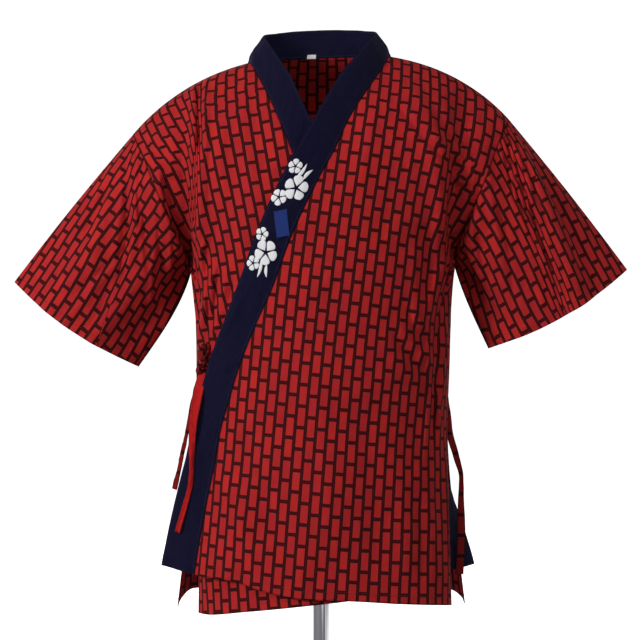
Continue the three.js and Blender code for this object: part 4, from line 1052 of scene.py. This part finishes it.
points, directions = back_piece(13)
flat = lay_flat(points)
levels = np.linspace(0, V_TOP, len(points))[:, None]
beside_slit = slit_rows(points)
low, high, first, last = edge_gaps(points)
sides = np.minimum(first, last)
marks = {"hem": np.minimum(low, np.where(levels < V_SLIT, sides, 1.0)),
         "seam": np.minimum(high, np.where(levels < V_SLIT, 1.0, sides))}
back = shell("back_cloth", points, directions, CLOTH, set_grain(flat, points, (-11, 860), 0.0),
             marks=marks)
hem_lines.append(inset_line(points, directions, "first row", HEM, SEW_LIFT))
for edge in ("first column", "last column"):
    hem_lines.append(inset_line(points[beside_slit], directions[beside_slit], edge, HEM, SEW_LIFT))
dress(back, printed, "printed_cotton", "back")


# The sleeves: wide and short, each one piece of the printed cotton, folded along its top line,
# closed by one seam at the underarm, sewn to the armhole and turned up at the cuff.
SLEEVE_BACK = [[0.1, 0, 0.4, 1.1, 14, 4], [0.4, 0, 0.55, 1.1, 16, -4], [0.7, 0, 0.75, 1.1, 16, 4]]
SLEEVE_BACK_FINE = [[0.2, 0, 0.6, 0.8, 7, 2.2], [0.5, 0, 0.8, 0.5, 6, 2.2],
                    [0.8, 0, 0.9, 0.5, 6, -2]]
# Bunches of narrow folds: half width and height of a ridge, distance between two ridges, half
# width of the bunch at its two ends, the cloth that it takes in, and its line.
BUNCHES = [
    (1.7, 6.6, 15, 12, 42, ((218, 842), (234, 802), (247, 751), (257, 714), (278, 664),
                            (297, 614), (312, 570))),
    (1.0, 6.0, 8, 9, 13, ((-228, 836), (-236, 790), (-235, 740), (-232, 700),
                          (-245, 650), (-262, 600))),
]


def bunched(points, share):
    """Raises the narrow ridges of the bunches of folds."""
    x, z = points[..., 0], points[..., 2]
    made = points.copy()
    for height, period, first, last, _, line in BUNCHES:
        far, along, side = near_line(line, x, z)
        wide = first + (last - first) * along
        ends = smooth(0, 0.12, along) * smooth(1, 0.75, along)
        ridge = np.sin(2 * math.pi * far * side / period + 2.2 * np.sin(9 * along))
        made[..., 1] -= height * ridge * np.exp(-((far / wide) ** 4)) * ends * share
    return made


def take_in(cut, points):
    """Shifts the flat cut of a sleeve by the cloth that its bunches of folds take in."""
    x, z = points[..., 0], points[..., 2]
    made = cut.copy()
    for _, _, first, last, amount, line in BUNCHES:
        if line[0][0] * x.mean() < 0:
            continue
        far, along, side = near_line(line, x, z)
        wide = first + (last - first) * along
        outer = 0.5 * (1 - np.tanh(far * side * np.sign(line[0][0]) / wide))
        made[..., 0] += amount / 1000 * np.where(points[..., 1] > 0, 1, outer)
    return made


def sleeve_piece(name, seed, rows=130, half=150):
    sleeve = SLEEVES[name]
    down = np.linspace(0, 1, half)
    h = np.concatenate([down[::-1], down[1:-1]])
    back = np.arange(len(h)) < half
    t = np.repeat(np.linspace(0, 1, rows)[:, None], len(h), axis=1)
    h = np.repeat(h[None, :], rows, axis=0)
    points, normals, ridges = np.zeros((*h.shape, 3)), np.zeros((*h.shape, 3)), np.zeros(h.shape)
    for face, columns, folds in (("back", back, SLEEVE_BACK + SLEEVE_BACK_FINE),
                                 ("front", ~back, sleeve["folds"] + sleeve["fine"])):
        hh, tt = h[:, columns], t[:, columns]
        n = arm_normal(sleeve, face, hh, tt)
        hang = smooth(0, 0.12, tt) * smooth(0, 0.1, hh) * smooth(1, 0.92, hh)
        scaled = [[f[0], f[1] * SLEEVE_FLAT, f[2], f[3] * SLEEVE_FLAT, f[4], f[5]] for f in folds]
        rise = folded(scaled, hh, tt * SLEEVE_FLAT, SLEEVE_FLAT) * hang
        uneven = ripple(hh.shape, ((5, 6, 0.35), (14, 14, 0.25), (30, 30, 0.12)), seed + len(face))
        rise = rise + uneven * rim_fade(uneven.shape, 8, 10, (1, 0, 1, 1))
        made = sleeve_point(sleeve, face, hh, tt) + n * rise[..., None]
        if face == "front":
            share = smooth(0, 0.1, hh) * smooth(1, 0.9, hh)
            ridges[:, columns] = (bunched(made, share) - made)[..., 1]
            made = crease(made, share, 9 * smooth(0, 0.14, tt))
        points[:, columns] = made
        normals[:, columns] = n
        body = armhole_normal(sleeve, face, V_TOP - ARM_FALL * hh[0])
        turned = turned_back(sleeve, face, hh[0])[:, None]
        points[0, columns] += body * (CLOTH + SEAM) * turned
        normals[0, columns] = mitre(n[0], body) * (1 - turned) + n[0] * turned
    along = unit(points[2] - points[0])
    points[0] += along * SEAM / 2
    smooth_points = points.copy()
    points[..., 1] += ridges
    directions = grid_normals(points, normals, around=True)
    directions[0] = normals[0]
    seam = [0, half - 1]
    directions[:, seam] = normals[:, seam]
    return points, directions, smooth_points


for name, seed, at, lean in (("sleeve_left", 14, (232, 664), -25.0),
                             ("sleeve_right", 15, (-290, 664), 28.0)):
    points, directions, smooth_points = sleeve_piece(name, seed)
    flat = lay_flat(smooth_points)
    front = points.copy()
    front[points[..., 1] > 0] = 1e6
    cut = take_in(set_grain(flat, front, at, lean), points)
    low, high, first, last = edge_gaps(points)
    marks = {"hem": high, "seam": np.minimum(low, np.minimum(first, last))}
    cloth = shell(name + "_cloth", points, directions, CLOTH, cut, around=True, marks=marks)
    line, facing = inset_line(points, directions, "last row", HEM, SEW_LIFT)
    hem_lines.append((np.vstack([line, line[:1]]), np.vstack([facing, facing[:1]])))
    dress(cloth, printed, "printed_cotton", name)


# The hems, slits and cuffs are turned twice and sewn down with dark red thread, a stitch every
# three and a half millimetres.
def run_of_stitches():
    tree = bpy.data.node_groups.new("run of stitches", "GeometryNodeTree")
    for name, kind in (("Lines", "Geometry"), ("Stitch", "Float"), ("Pitch", "Float"),
                       ("Thread", "Float"), ("Finish", "Material")):
        tree.interface.new_socket(name, in_out="INPUT", socket_type="NodeSocket" + kind)
    tree.interface.new_socket("Sewn", in_out="OUTPUT", socket_type="NodeSocketGeometry")

    def node(kind, inputs=(), **settings):
        made = tree.nodes.new(kind)
        for key, value in settings.items():
            setattr(made, key, value)
        for socket, value in inputs:
            if isinstance(value, bpy.types.NodeSocket):
                tree.links.new(value, made.inputs[socket])
            else:
                made.inputs[socket].default_value = value
        return made

    given = node("NodeGroupInput").outputs
    line = node("GeometryNodeMeshToCurve", [("Mesh", given["Lines"])])
    even = node("GeometryNodeResampleCurve",
                [("Curve", line.outputs[0]), ("Length", given["Pitch"])],
                mode="LENGTH")
    facing = node("GeometryNodeInputNamedAttribute", [("Name", "facing")], data_type="FLOAT_VECTOR")
    tangent = node("GeometryNodeInputTangent")
    along = node("FunctionNodeAlignRotationToVector", [("Vector", tangent.outputs[0])], axis="X")
    laid = node("FunctionNodeAlignRotationToVector",
                [("Rotation", along.outputs[0]), ("Vector", facing.outputs[0])],
                axis="Z", pivot_axis="X")
    ball = node("GeometryNodeMeshUVSphere", [("Segments", 6), ("Rings", 4), ("Radius", 0.5)])
    size = node("ShaderNodeCombineXYZ", [("X", given["Stitch"]), ("Y", given["Thread"]),
                                         ("Z", given["Thread"])])
    drawn = node("GeometryNodeTransform",
                 [("Geometry", ball.outputs["Mesh"]), ("Scale", size.outputs[0])])
    pull = node("FunctionNodeRandomValue", [("Seed", 5)], data_type="FLOAT")
    pull.inputs[2].default_value, pull.inputs[3].default_value = 0.9, 1.08
    placed = node("GeometryNodeInstanceOnPoints", [
        ("Points", even.outputs[0]), ("Instance", drawn.outputs[0]), ("Rotation", laid.outputs[0]),
        ("Scale", pull.outputs[1])])
    real = node("GeometryNodeRealizeInstances", [("Geometry", placed.outputs[0])])
    soft = node("GeometryNodeSetShadeSmooth", [("Geometry", real.outputs[0])])
    done = node("GeometryNodeSetMaterial",
                [("Geometry", soft.outputs[0]), ("Material", given["Finish"])])
    end = node("NodeGroupOutput")
    tree.links.new(done.outputs[0], end.inputs[0])
    return tree


stitches = run_of_stitches()


def sew(name, lines, material, stitch=2.5, pitch=3.5, thread=0.42):
    """Stitches along lines of points in millimetres, each with the way its cloth faces."""
    mesh = bpy.data.meshes.new(name)
    verts = np.concatenate([line for line, _ in lines]) / 1000
    ends = np.cumsum([0] + [len(line) for line, _ in lines])
    edges = [(i, i + 1) for a, b in zip(ends[:-1], ends[1:]) for i in range(a, b - 1)]
    mesh.from_pydata(verts.tolist(), edges, [])
    kept = mesh.attributes.new("facing", "FLOAT_VECTOR", "POINT")
    facing = np.concatenate([n for _, n in lines]).astype(np.float32)
    kept.data.foreach_set("vector", facing.ravel())
    piece = bpy.data.objects.new(name, mesh)
    scene.collection.objects.link(piece)
    run = piece.modifiers.new("stitches", "NODES")
    run.node_group = stitches
    values = {"Stitch": stitch / 1000, "Pitch": pitch / 1000, "Thread": thread / 1000,
              "Finish": material}
    for item in stitches.interface.items_tree:
        if item.in_out == "INPUT" and item.name in values:
            run[item.identifier] = values[item.name]
    evaluated = piece.evaluated_get(bpy.context.evaluated_depsgraph_get())
    sewn = bpy.data.meshes.new_from_object(evaluated)
    piece.modifiers.remove(run)
    piece.data = sewn
    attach(piece, "root")
    return piece


red_thread = Look("dark red thread", Specular_IOR_Level=0.25)
place = red_thread.node("ShaderNodeTexCoord").outputs["Object"]
fibre = red_thread.noise(place, 2600.0, 2.0)
red_thread.surface(red_thread.mix(fibre, (0.05, 0.002, 0.006, 1), (0.13, 0.006, 0.012, 1)),
                   0.5 + fibre * 0.3, fibre, strength=0.4, distance=0.0002)
sew("hem_stitches", hem_lines, red_thread.material)


# The collar band: a long strip of navy cotton folded double along its length. It is sewn round
# the neck and down both slanting front edges to the hem, with a line of stitches along each edge.
BAND_WALL, BAND_BULGE = 2.4, 1.8
levels = np.linspace(0, V_TOP, 300)
turns = np.linspace(0, math.pi, 90)[1:-1]
band_points, band_out = [], []
Q = np.linspace(0, 1, 33)
for side, alongs in (("top", levels), ("neck", turns), ("under", levels[::-1])):
    seam, width, out = band_frame(side, alongs)
    start = SEAM / np.linalg.norm(width, axis=-1)[:, None]
    q = start + (1 - start) * Q[None, :]
    rise = 4 * BAND_BULGE * q * (1 - q)
    band_points.append(seam[:, None] + width[:, None] * q[..., None]
                       + out[:, None] * rise[..., None])
    band_out.append(np.repeat(out[:, None], len(Q), axis=1))
band_points, band_out = np.concatenate(band_points), np.concatenate(band_out)
uneven = ripple(band_points.shape[:2], ((34, 3, 0.55), (90, 5, 0.35), (200, 8, 0.14)), 21)
uneven *= rim_fade(uneven.shape, 4, 5, (0, 0, 1, 0))
band_points = band_points + band_out * uneven[..., None]
band_v = np.concatenate([levels, np.full(len(turns), V_TOP), levels[::-1]])
band_points = crease(band_points, below_neck(band_v)[:, None])
band_directions = grid_normals(band_points, band_out)
band_flat = lay_flat(band_points, passes=60, keep=120, finer=None)

navy = Look("navy cotton", Specular_IOR_Level=0.04, Sheen_Weight=0.01, Sheen_Roughness=0.5)
place = navy.cut()
x, y = navy.split(place)
weave = navy.weave(x, y, 0.00045)
thread = navy.noise(navy.join(x * 0.12, y), 2200.0, 2.0) * 0.5 + navy.noise(
    navy.join(x, y * 0.12, 1.0), 2200.0, 2.0) * 0.5
colour = navy.mix(thread, (0.0034, 0.0028, 0.014, 1), (0.0090, 0.0080, 0.036, 1))
crumple = navy.noise(place, 60.0, 4.0)
navy.surface(colour, 0.7 + thread * 0.2, weave * 0.12 + thread * 0.15 + crumple * 3.0,
             strength=0.8, distance=0.003)
band = shell("collar_band_cloth", band_points, band_directions, BAND_WALL, band_flat)
dress(band, navy.material, "navy_cotton", "collar_band")
navy_thread = Look("navy thread", Specular_IOR_Level=0.3)
place = navy_thread.node("ShaderNodeTexCoord").outputs["Object"]
fibre = navy_thread.noise(place, 2600.0, 2.0)
navy_thread.surface(navy_thread.mix(fibre, (0.010, 0.012, 0.04, 1), (0.03, 0.034, 0.085, 1)),
                    0.45 + fibre * 0.3, fibre, strength=0.4, distance=0.0002)
band_lines = [inset_line(band_points, band_directions, edge, 2.4, BAND_WALL / 2 + 0.1)
              for edge in ("first column", "last column")]
band_lines += [(line - facing * (BAND_WALL + 0.2), -facing) for line, facing in band_lines]
sew("band_stitches", band_lines, navy_thread.material)


# The neck label: a small folded strip of bare white tape, caught in the seam at the back of the
# neck, inside the collar band.
LEAST_SIDE = 0.0101  # metres


def stated_size(flat):
    """A narrow strip's size, not under the least side that a sheet is stated with."""
    return tuple(max(LEAST_SIDE, side) for side in cloth_size(flat))


white = Look("white label", Specular_IOR_Level=0.3)
place = white.cut()
x, y = white.split(place)
rib = white.weave(x, y, 0.00030)
white.surface(white.mix(rib, (0.66, 0.66, 0.68, 1), (0.84, 0.84, 0.86, 1)), 0.55 + rib * 0.15, rib,
              strength=0.35, distance=0.0002)
LABEL_OUT, LABEL_WALL = BAND_WALL / 2 + 0.5, 0.7
# radians round the back of the neck, and shares of the band's width
NECK_LABEL_TURN, NECK_LABEL_WIDTH = (1.64, 1.765), (-0.04, 0.12)
seam, width, facing = band_frame("neck", np.linspace(*NECK_LABEL_TURN, 20))
q = np.linspace(*NECK_LABEL_WIDTH, 24)[None, :]
rise = 4 * BAND_BULGE * q * (1 - q) - LABEL_OUT
points = seam[:, None] + width[:, None] * q[..., None] + facing[:, None] * rise[..., None]
directions = np.repeat(facing[:, None], q.size, axis=1)
flat = lay_flat(points, passes=10, keep=12, finer=None)
label = shell("neck_label_cloth", points, directions, LABEL_WALL, flat)
dress(label, white.material, "white_label", "neck_label")
size = stated_size(flat)


# The band patch: a small bare blue patch, woven with a fine twill and sewn down along its four
# edges. It hangs nearly upright on the slanting band, turned a little from its line.
blue = Look("blue label", Specular_IOR_Level=0.12)
place = blue.cut()
x, y = blue.split(place)
rib = blue.weave(x, y, 0.00036)
twill = ((x + y) / 0.0016).part().above(0.5, 0.2)
edge = blue.mark("hem")
sheen = blue.mix(rib * 0.4 + twill * 0.3, (0.002, 0.012, 0.09, 1), (0.006, 0.036, 0.22, 1))
sheen = blue.mix((1.0 - edge.above(0.0011, 0.0004)) * 0.8, sheen, (0.002, 0.008, 0.07, 1))
blue.surface(sheen, 0.5 + rib * 0.2, rib + (1.0 - edge.above(0.0011, 0.0004)) * 0.8,
             strength=0.4, distance=0.0003)
PATCH_V, PATCH_Q, PATCH_SIZE, PATCH_TURN = 451.0, 0.40, (16.5, 30.5), 33.0


def on_band(v, q, out):
    """Places on the band's outer face, at levels v and shares q across it, and the way it faces."""
    seam, width, facing = band_frame("top", np.asarray(v, float).ravel())
    q = np.asarray(q, float).ravel()
    rise = 4 * BAND_BULGE * q * (1 - q) + np.asarray(out, float).ravel()
    points = seam + width * q[:, None] + facing * rise[:, None]
    share = below_neck(np.asarray(v, float).ravel())
    shape = np.broadcast(v, q.reshape(np.shape(v))).shape
    return crease(points, share).reshape(*shape, 3), facing.reshape(*shape, 3)


def patch_place(across, up, out):
    """Places on the band by millimetres from the patch's middle, along its own two edges."""
    t = math.radians(PATCH_TURN)
    right = across * math.cos(t) - up * math.sin(t)
    along = across * math.sin(t) + up * math.cos(t)
    wide = float(np.linalg.norm(band_frame("top", np.array([PATCH_V]))[1]))
    return on_band(PATCH_V + along, PATCH_Q - right / wide, out)


up, across = np.meshgrid(np.linspace(0.5, -0.5, 30), np.linspace(-0.5, 0.5, 18), indexing="ij")
points, directions = patch_place(across * PATCH_SIZE[0], up * PATCH_SIZE[1], LABEL_OUT + 0 * up)
flat = lay_flat(points, passes=10, keep=12, finer=None)
rim = np.minimum.reduce(edge_gaps(points))
patch = shell("band_patch_cloth", points, directions, LABEL_WALL, flat, marks={"hem": rim})
dress(patch, blue.material, "blue_label", "band_patch")
patch_lines = [inset_line(points, directions, edge, 1.1, LABEL_WALL / 2 + 0.08)
               for edge in ("first row", "last row", "first column", "last column")]
sew("patch_stitches", patch_lines, navy_thread.material,
    stitch=1.5, pitch=2.0, thread=0.3)

# Plum blossoms and small leaves in white satin stitch, above the patch and below it, each petal a
# low pad of thread laid side by side across its width.
silk = Look("white embroidery silk", Specular_IOR_Level=0.45)
place = silk.cut()
x, y = silk.split(place)
strand = ((x * 1.0 + y * 0.25) / 0.00042).part()
strand = abs(strand - 0.5) * 2.0
lay = silk.noise(silk.join(x * 0.1, y, 0.0), 900.0, 2.0)
silk.surface(silk.mix(strand * 0.5 + lay * 0.4, (0.86, 0.86, 0.87, 1), (0.60, 0.60, 0.64, 1)),
             0.34 + lay * 0.25, strand * -0.6 + lay * 0.5, strength=0.5, distance=0.0003)
PETALS, SILK_WALL = 5, 0.6
# Blossoms: level v and millimetres across the band of the middle, radius, turn in degrees.
BLOSSOMS = [[493, 19, 14.5, 12], [476, 33, 9.5, 50], [514, 32, 8.5, 20],
            [414, 22, 14.5, -20], [431, 34, 8.0, 5], [397, 33, 8.5, 40]]
# Sprays of small leaves beside them: v and millimetres across of base and tip, width, bow.
SPRAYS = [[505, 16, 519, 11, 4.2, 1.2], [503, 24, 522, 21, 4.2, -1.2],
          [402, 16, 388, 11, 4.2, -1.2], [404, 24, 384, 22, 4.2, 1.2]]


def on_band_mm(v, across, out):
    wide = np.linalg.norm(band_frame("top", np.asarray(v, float).ravel())[1], axis=-1)
    return on_band(v, across / wide.reshape(np.shape(v)), out)


def satin_pad(start, end, wide, bow, blunt):
    """A pad of satin stitch from one place on the band to another, blunt or pointed at its end."""
    s, r = np.meshgrid(np.linspace(0, 1, 22), np.linspace(-1, 1, 9), indexing="ij")
    run = np.array(end, float) - start
    ahead = run / np.linalg.norm(run)
    widest, fullness = (1.7, 0.55) if blunt else (0.8, 0.8)
    half = wide / 2 * np.maximum(0.08, np.sin(math.pi * s**widest) ** fullness)
    side = r * half + bow * np.sin(math.pi * s)
    v = start[0] + run[0] * s - ahead[1] * side
    across = start[1] + run[1] * s + ahead[0] * side
    crown = 0.45 * (1 - r**2) * np.sin(math.pi * np.clip(s, 0.05, 0.95)) ** 0.5
    rise = BAND_WALL / 2 + 0.34 + crown
    return on_band_mm(v, across, rise)


pads = []
for v, across, radius, turn in BLOSSOMS:
    for petal in range(PETALS):
        a = math.radians(turn + 360 / PETALS * petal)
        way = np.array([math.cos(a), math.sin(a)])
        middle = np.array([v, across], float)
        pads.append(satin_pad(middle + way * radius * 0.17, middle + way * radius,
                              radius * 0.82, 0, True))
for v0, a0, v1, a1, wide, bow in SPRAYS:
    pads.append(satin_pad((v0, a0), (v1, a1), wide, bow, False))
for n, (points, directions) in enumerate(pads):
    flat = lay_flat(points, passes=0, keep=6, finer=None)
    leaf = shell("embroidery_%02d" % (n + 1), points, directions, SILK_WALL, flat)
    dress(leaf, silk.material, "white_label")


# The ties: narrow strips of the printed cotton, folded on themselves and sewn into tapes. Two ends
# come out of the knot at the wearer's right waist, and one tie hangs inside the left front.
# columns: x, y, z, width, turn in degrees from facing forward
TIES = {
    "tie_outer_long": [
        [-147.5, -57, 512, 9, -20], [-150, -66, 497, 11.5, -20], [-154, -74, 476, 11.5, -15],
        [-158, -74, 451, 9.5, -10], [-160, -72, 425, 8, 5], [-160.5, -71, 398, 6, 30],
        [-162, -69, 374, 5.5, 20], [-168, -66, 349, 6, -5], [-179, -61, 312, 6.5, -16],
    ],
    "tie_outer_short": [
        [-150, -52, 512, 6, -45], [-159, -49, 480, 7, -50], [-167, -46, 438, 6, -50],
        [-175, -43, 400, 6, -45], [-184, -40, 364, 7, -35],
    ],
    "tie_inner": [
        [158, -4, 484, 8, 60], [160.5, -6, 458, 8, 45], [163, -9, 432, 9, 30],
        [171, -12, 404, 8, 20], [177.5, -14, 376, 5, 10], [177, -15, 345, 8, 15],
        [176.5, -16, 308, 11, 20], [175, -17, 255, 10, 10],
    ],
}
TIE_WALL = 1.8
folded_red = Look("red cotton of the long tie", Specular_IOR_Level=0.02, Sheen_Weight=0.015)
place = folded_red.cut()
x, y = folded_red.split(place)
weave = folded_red.weave(x, y, 0.00042)
blotch = folded_red.noise(place, 130.0, 3.0)
cast = folded_red.mix(blotch, (0.36, 0.009, 0.012, 1), (0.56, 0.022, 0.020, 1))
fold = folded_red.noise(folded_red.join(x * 6.0, y * 0.5, 0.0), 160.0, 2.0)
tie_red = folded_red.surface(cast, 0.85 + weave * 0.1, weave * 0.1 + fold * 1.6,
                             strength=0.8, distance=0.0012)
for n, (name, rows) in enumerate(TIES.items()):
    rows = np.array(rows, float)
    down = -rows[:, 2]
    steps = np.linspace(down[0], down[-1], 130)
    table = curve(np.column_stack([down, rows[:, 0], rows[:, 1], rows[:, 3], rows[:, 4]]), steps)
    centre = np.column_stack([table[:, 0], table[:, 1], -steps])
    along = unit(np.gradient(centre, axis=0))
    turn = np.radians(table[:, 3])
    facing = np.stack([np.sin(turn), -np.cos(turn), 0 * turn], -1)
    facing = unit(facing - along * (facing * along).sum(-1)[:, None])
    over = np.cross(facing, along)
    q = np.linspace(-0.5, 0.5, 15)
    points = centre[:, None] + over[:, None] * (q[None, :] * table[:, 2:3])[..., None]
    uneven = ripple(points.shape[:2], ((14, 2, 0.3), (40, 3, 0.18)), 31 + n)
    cupped = 0.16 * table[:, 2:3] * (1 - (2 * q[None, :]) ** 2) * np.sin(steps / 23.0 + n)[:, None]
    points = points + facing[:, None] * (uneven + cupped)[..., None]
    flat = lay_flat(points, passes=20, keep=15, finer=None) + [0.5 * COLUMN, 0.0]
    tie = shell(name + "_cloth", points, grid_normals(points, facing[:, None]), TIE_WALL, flat)
    dress(tie, tie_red if name == "tie_outer_long" else printed, "printed_cotton", name)
    size = stated_size(flat)


# The knot of the outer tie: two wraps of the same tape pulled tight, with the hollows that the
# tape leaves where it turns.
# columns: x, y, z of the middle, half width, half depth and half height of a wrap
WRAPS = [[-148.6, -55, 513, 7.4, 7.0, 8.6], [-143.0, -58, 533, 9.0, 6.5, 13.5]]
KNOT_ROUND, KNOT_LEVELS = 64, 49
knot_points, knot_faces, knot_flat = [], [], []
for n, wrap in enumerate(WRAPS):
    turn, rise = np.meshgrid(np.linspace(0, 2 * math.pi, KNOT_ROUND + 1)[:-1],
                             np.linspace(-1, 1, KNOT_LEVELS), indexing="ij")
    lean = rise * (math.pi / 2 - 0.02)
    ball = np.stack([np.cos(lean) * np.sin(turn), -np.cos(lean) * np.cos(turn), np.sin(lean)], -1)
    size = 1 + 0.05 * np.sin(5 * turn + 4 * rise + n) + 0.04 * np.sin(9 * turn - 6 * rise)
    for away, offset, depth in (((0.9, -0.3, 0.42), 0.25, 0.2), ((-0.62, -0.5, 0.6), 0.15, 0.2),
                                ((0.2, -0.5, 0.85), -0.35, 0.16), ((0.75, -0.5, -0.6), 0.35, 0.16)):
        gap = ball @ unit(np.array(away)) - offset
        size = size - depth * np.exp(-((gap / 0.1) ** 2))
        size = size + 0.07 * np.exp(-(((np.abs(gap) - 0.26) / 0.12) ** 2))
    made = ball * size[..., None] * wrap[3:] + wrap[:3]
    number = np.arange(made[..., 0].size).reshape(made.shape[:2]) + sum(map(len, knot_points))
    after = np.roll(number, -1, axis=0)
    squares = np.stack([number[:, :-1], after[:, :-1], after[:, 1:], number[:, 1:]], -1)
    knot_faces += squares.reshape(-1, 4).tolist()
    knot_faces += [number[::-1, 0].tolist(), number[:, -1].tolist()]
    knot_points.append(made.reshape(-1, 3) / 1000)
    laid = np.stack([turn * 0.0085 + 0.001 * np.sin(6 * rise), rise * 0.021 + n * 0.006], -1)
    knot_flat.append(laid.reshape(-1, 2))
knot_mesh = bpy.data.meshes.new("tie_outer_knot_cloth")
knot_mesh.from_pydata(np.vstack(knot_points).tolist(), [], knot_faces)
corners = np.zeros(len(knot_mesh.loops), dtype=np.int32)
knot_mesh.loops.foreach_get("vertex_index", corners)
knot_mesh.uv_layers.new(name="cut").data.foreach_set("uv", np.vstack(knot_flat)[corners].ravel())
knot_mesh.shade_smooth()
knot = bpy.data.objects.new("tie_outer_knot_cloth", knot_mesh)
scene.collection.objects.link(knot)
dress(knot, printed, "printed_cotton", "tie_outer_knot")


# The dress form: a limbless torso, a hard shell under a stretched knitted cover. The jacket
# hangs on its shoulders.
def put_on(node, material):
    for slot in bpy.data.objects[node].material_slots:
        slot.material = material


jersey = Look("form jersey", Specular_IOR_Level=0.15, Sheen_Weight=0.1)
place = jersey.node("ShaderNodeTexCoord").outputs["Object"]
x, y = jersey.split(place)
rib = abs((x / 0.0011).part() - 0.5) * 2.0
slub = jersey.noise(place, 700.0, 3.0)
patchy = jersey.noise(place, 14.0, 3.0)
colour = jersey.mix(patchy, (0.50, 0.47, 0.42, 1), (0.60, 0.57, 0.51, 1))
colour = jersey.mix(rib * 0.3, colour, (0.40, 0.37, 0.33, 1))
jersey.surface(colour, 0.78 + slub * 0.15, rib * 0.5 + slub * 0.5, strength=0.35, distance=0.0004)
put_on("form_torso", jersey.material)


# The stand: a turned socket under the form, a drawn tube, a turned collar and a flat round base,
# all chromed and polished. Dark and light strips of painted reflection run down the tube's colour.
chrome = Look("polished chrome", Metallic=1.0)
place = chrome.node("ShaderNodeTexCoord").outputs["Object"]
turned = chrome.node("ShaderNodeMapping", {"Vector": place, "Scale": (60, 60, 900)})
scratch = chrome.noise(turned.outputs[0], 6.0, 3.0)
smear = chrome.noise(place, 25.0, 4.0)
chrome.surface(chrome.mix(smear, (0.58, 0.59, 0.61, 1), (0.68, 0.69, 0.71, 1)),
               0.07 + smear * 0.12 + scratch * 0.06, scratch, strength=0.03, distance=0.0002)
for node in ("base", "base_collar", "form_socket"):
    put_on(node, chrome.material)
drawn = Look("chrome tube with painted reflections", Metallic=1.0)
place = drawn.node("ShaderNodeTexCoord").outputs["Object"]
reflection_band_place = drawn.node("ShaderNodeMapping",
                   {"Vector": place, "Location": (-0.75, 0, 0), "Scale": (75, 75, 1.2)})
painted_reflection_band = drawn.noise(reflection_band_place.outputs[0], 1.0, 2.0)
fine = drawn.node("ShaderNodeMapping", {"Vector": place, "Scale": (900, 900, 8)})
hair = drawn.noise(fine.outputs[0], 1.0, 2.0)
# Painted reflection: the colour is split into a dark and a light strip down the tube, standing in
# for the studio it reflects; the fine hairs only roughen and bump it.
drawn.surface(drawn.mix(painted_reflection_band.above(0.53, 0.06), (0.10, 0.10, 0.11, 1), (0.72, 0.72, 0.74, 1)),
              0.10 + painted_reflection_band * 0.10 + hair * 0.08, hair, strength=0.05, distance=0.0002)
put_on("pole", drawn.material)


# The studio: a white paper floor that turns up all round into a white wall, four soft lamps, and
# the camera, level with the jacket's middle.
def bowl(radius=11.0, bend=3.0, high=9.0, sides=96):
    line = [(0.0, 0.0), (radius - bend, 0.0)]
    line += [(radius - bend + bend * math.sin(a), bend - bend * math.cos(a))
             for a in np.linspace(0, math.pi / 2, 20)[1:]]
    line.append((radius, high))
    turns = [2 * math.pi * n / sides for n in range(sides)]
    verts = [(0, 0, 0)]
    verts += [(r * math.cos(t), r * math.sin(t), z) for r, z in line[1:] for t in turns]
    faces = [(0, 1 + n, 1 + (n + 1) % sides) for n in range(sides)]
    for i in range(len(line) - 2):
        a, b = 1 + i * sides, 1 + (i + 1) * sides
        faces += [(a + n, b + n, b + (n + 1) % sides, a + (n + 1) % sides) for n in range(sides)]
    mesh = bpy.data.meshes.new("studio floor")
    mesh.from_pydata(verts, [], faces)
    mesh.shade_smooth()
    floor = bpy.data.objects.new("studio_floor", mesh)
    scene.collection.objects.link(floor)
    return floor


floor = bowl()
paper = Look("studio paper", Roughness=0.9, Emission_Strength=0.85)
paper.shader.inputs["Emission Color"].default_value = (1, 1, 1, 1)
paper.surface((0.92, 0.92, 0.92, 1))
floor.data.materials.append(paper.material)
floor.visible_diffuse = False  # the lamps light the jacket, not the glow of the paper

world = bpy.data.worlds.new("studio")
world.use_nodes = True
world.node_tree.nodes["Background"].inputs["Color"].default_value = (1, 1, 1, 1)
world.node_tree.nodes["Background"].inputs["Strength"].default_value = 0.19
scene.world = world
scene.view_settings.view_transform = "Standard"


def soft_light(name, place, aim, size, power):
    lamp = bpy.data.lights.new(name, "AREA")
    lamp.shape, lamp.size, lamp.size_y, lamp.energy = "RECTANGLE", size[0], size[1], power
    made = bpy.data.objects.new(name, lamp)
    made.location = place
    away = np.array(place) - np.array(aim)
    made.rotation_euler = (math.atan2(math.hypot(away[0], away[1]), away[2]), 0,
                           math.atan2(away[1], away[0]) + math.pi / 2)
    scene.collection.objects.link(made)


# name, place, what it faces, size, watts
soft_light("key", (-2.45, -2.2, 1.35), (0, 0, 0.65), (0.7, 0.7), 80)
soft_light("fill", (2.2, -2.4, 1.3), (0, 0, 0.6), (1.0, 1.0), 12)
soft_light("top", (0, -1.5, 2.4), (0, 0, 0.7), (1.0, 1.0), 10)
soft_light("back", (-0.8, 3.2, 1.6), (0, 0, 0.6), (1.4, 1.4), 34)

lens = bpy.data.cameras.new("camera")
lens.lens, lens.sensor_width, lens.clip_end = 132.9, 36, 40
camera = bpy.data.objects.new("camera", lens)
camera.location = (-0.00127, -3.0, 0.576)
camera.rotation_euler = (math.pi / 2, 0, 0)
scene.collection.objects.link(camera)
scene.camera = camera
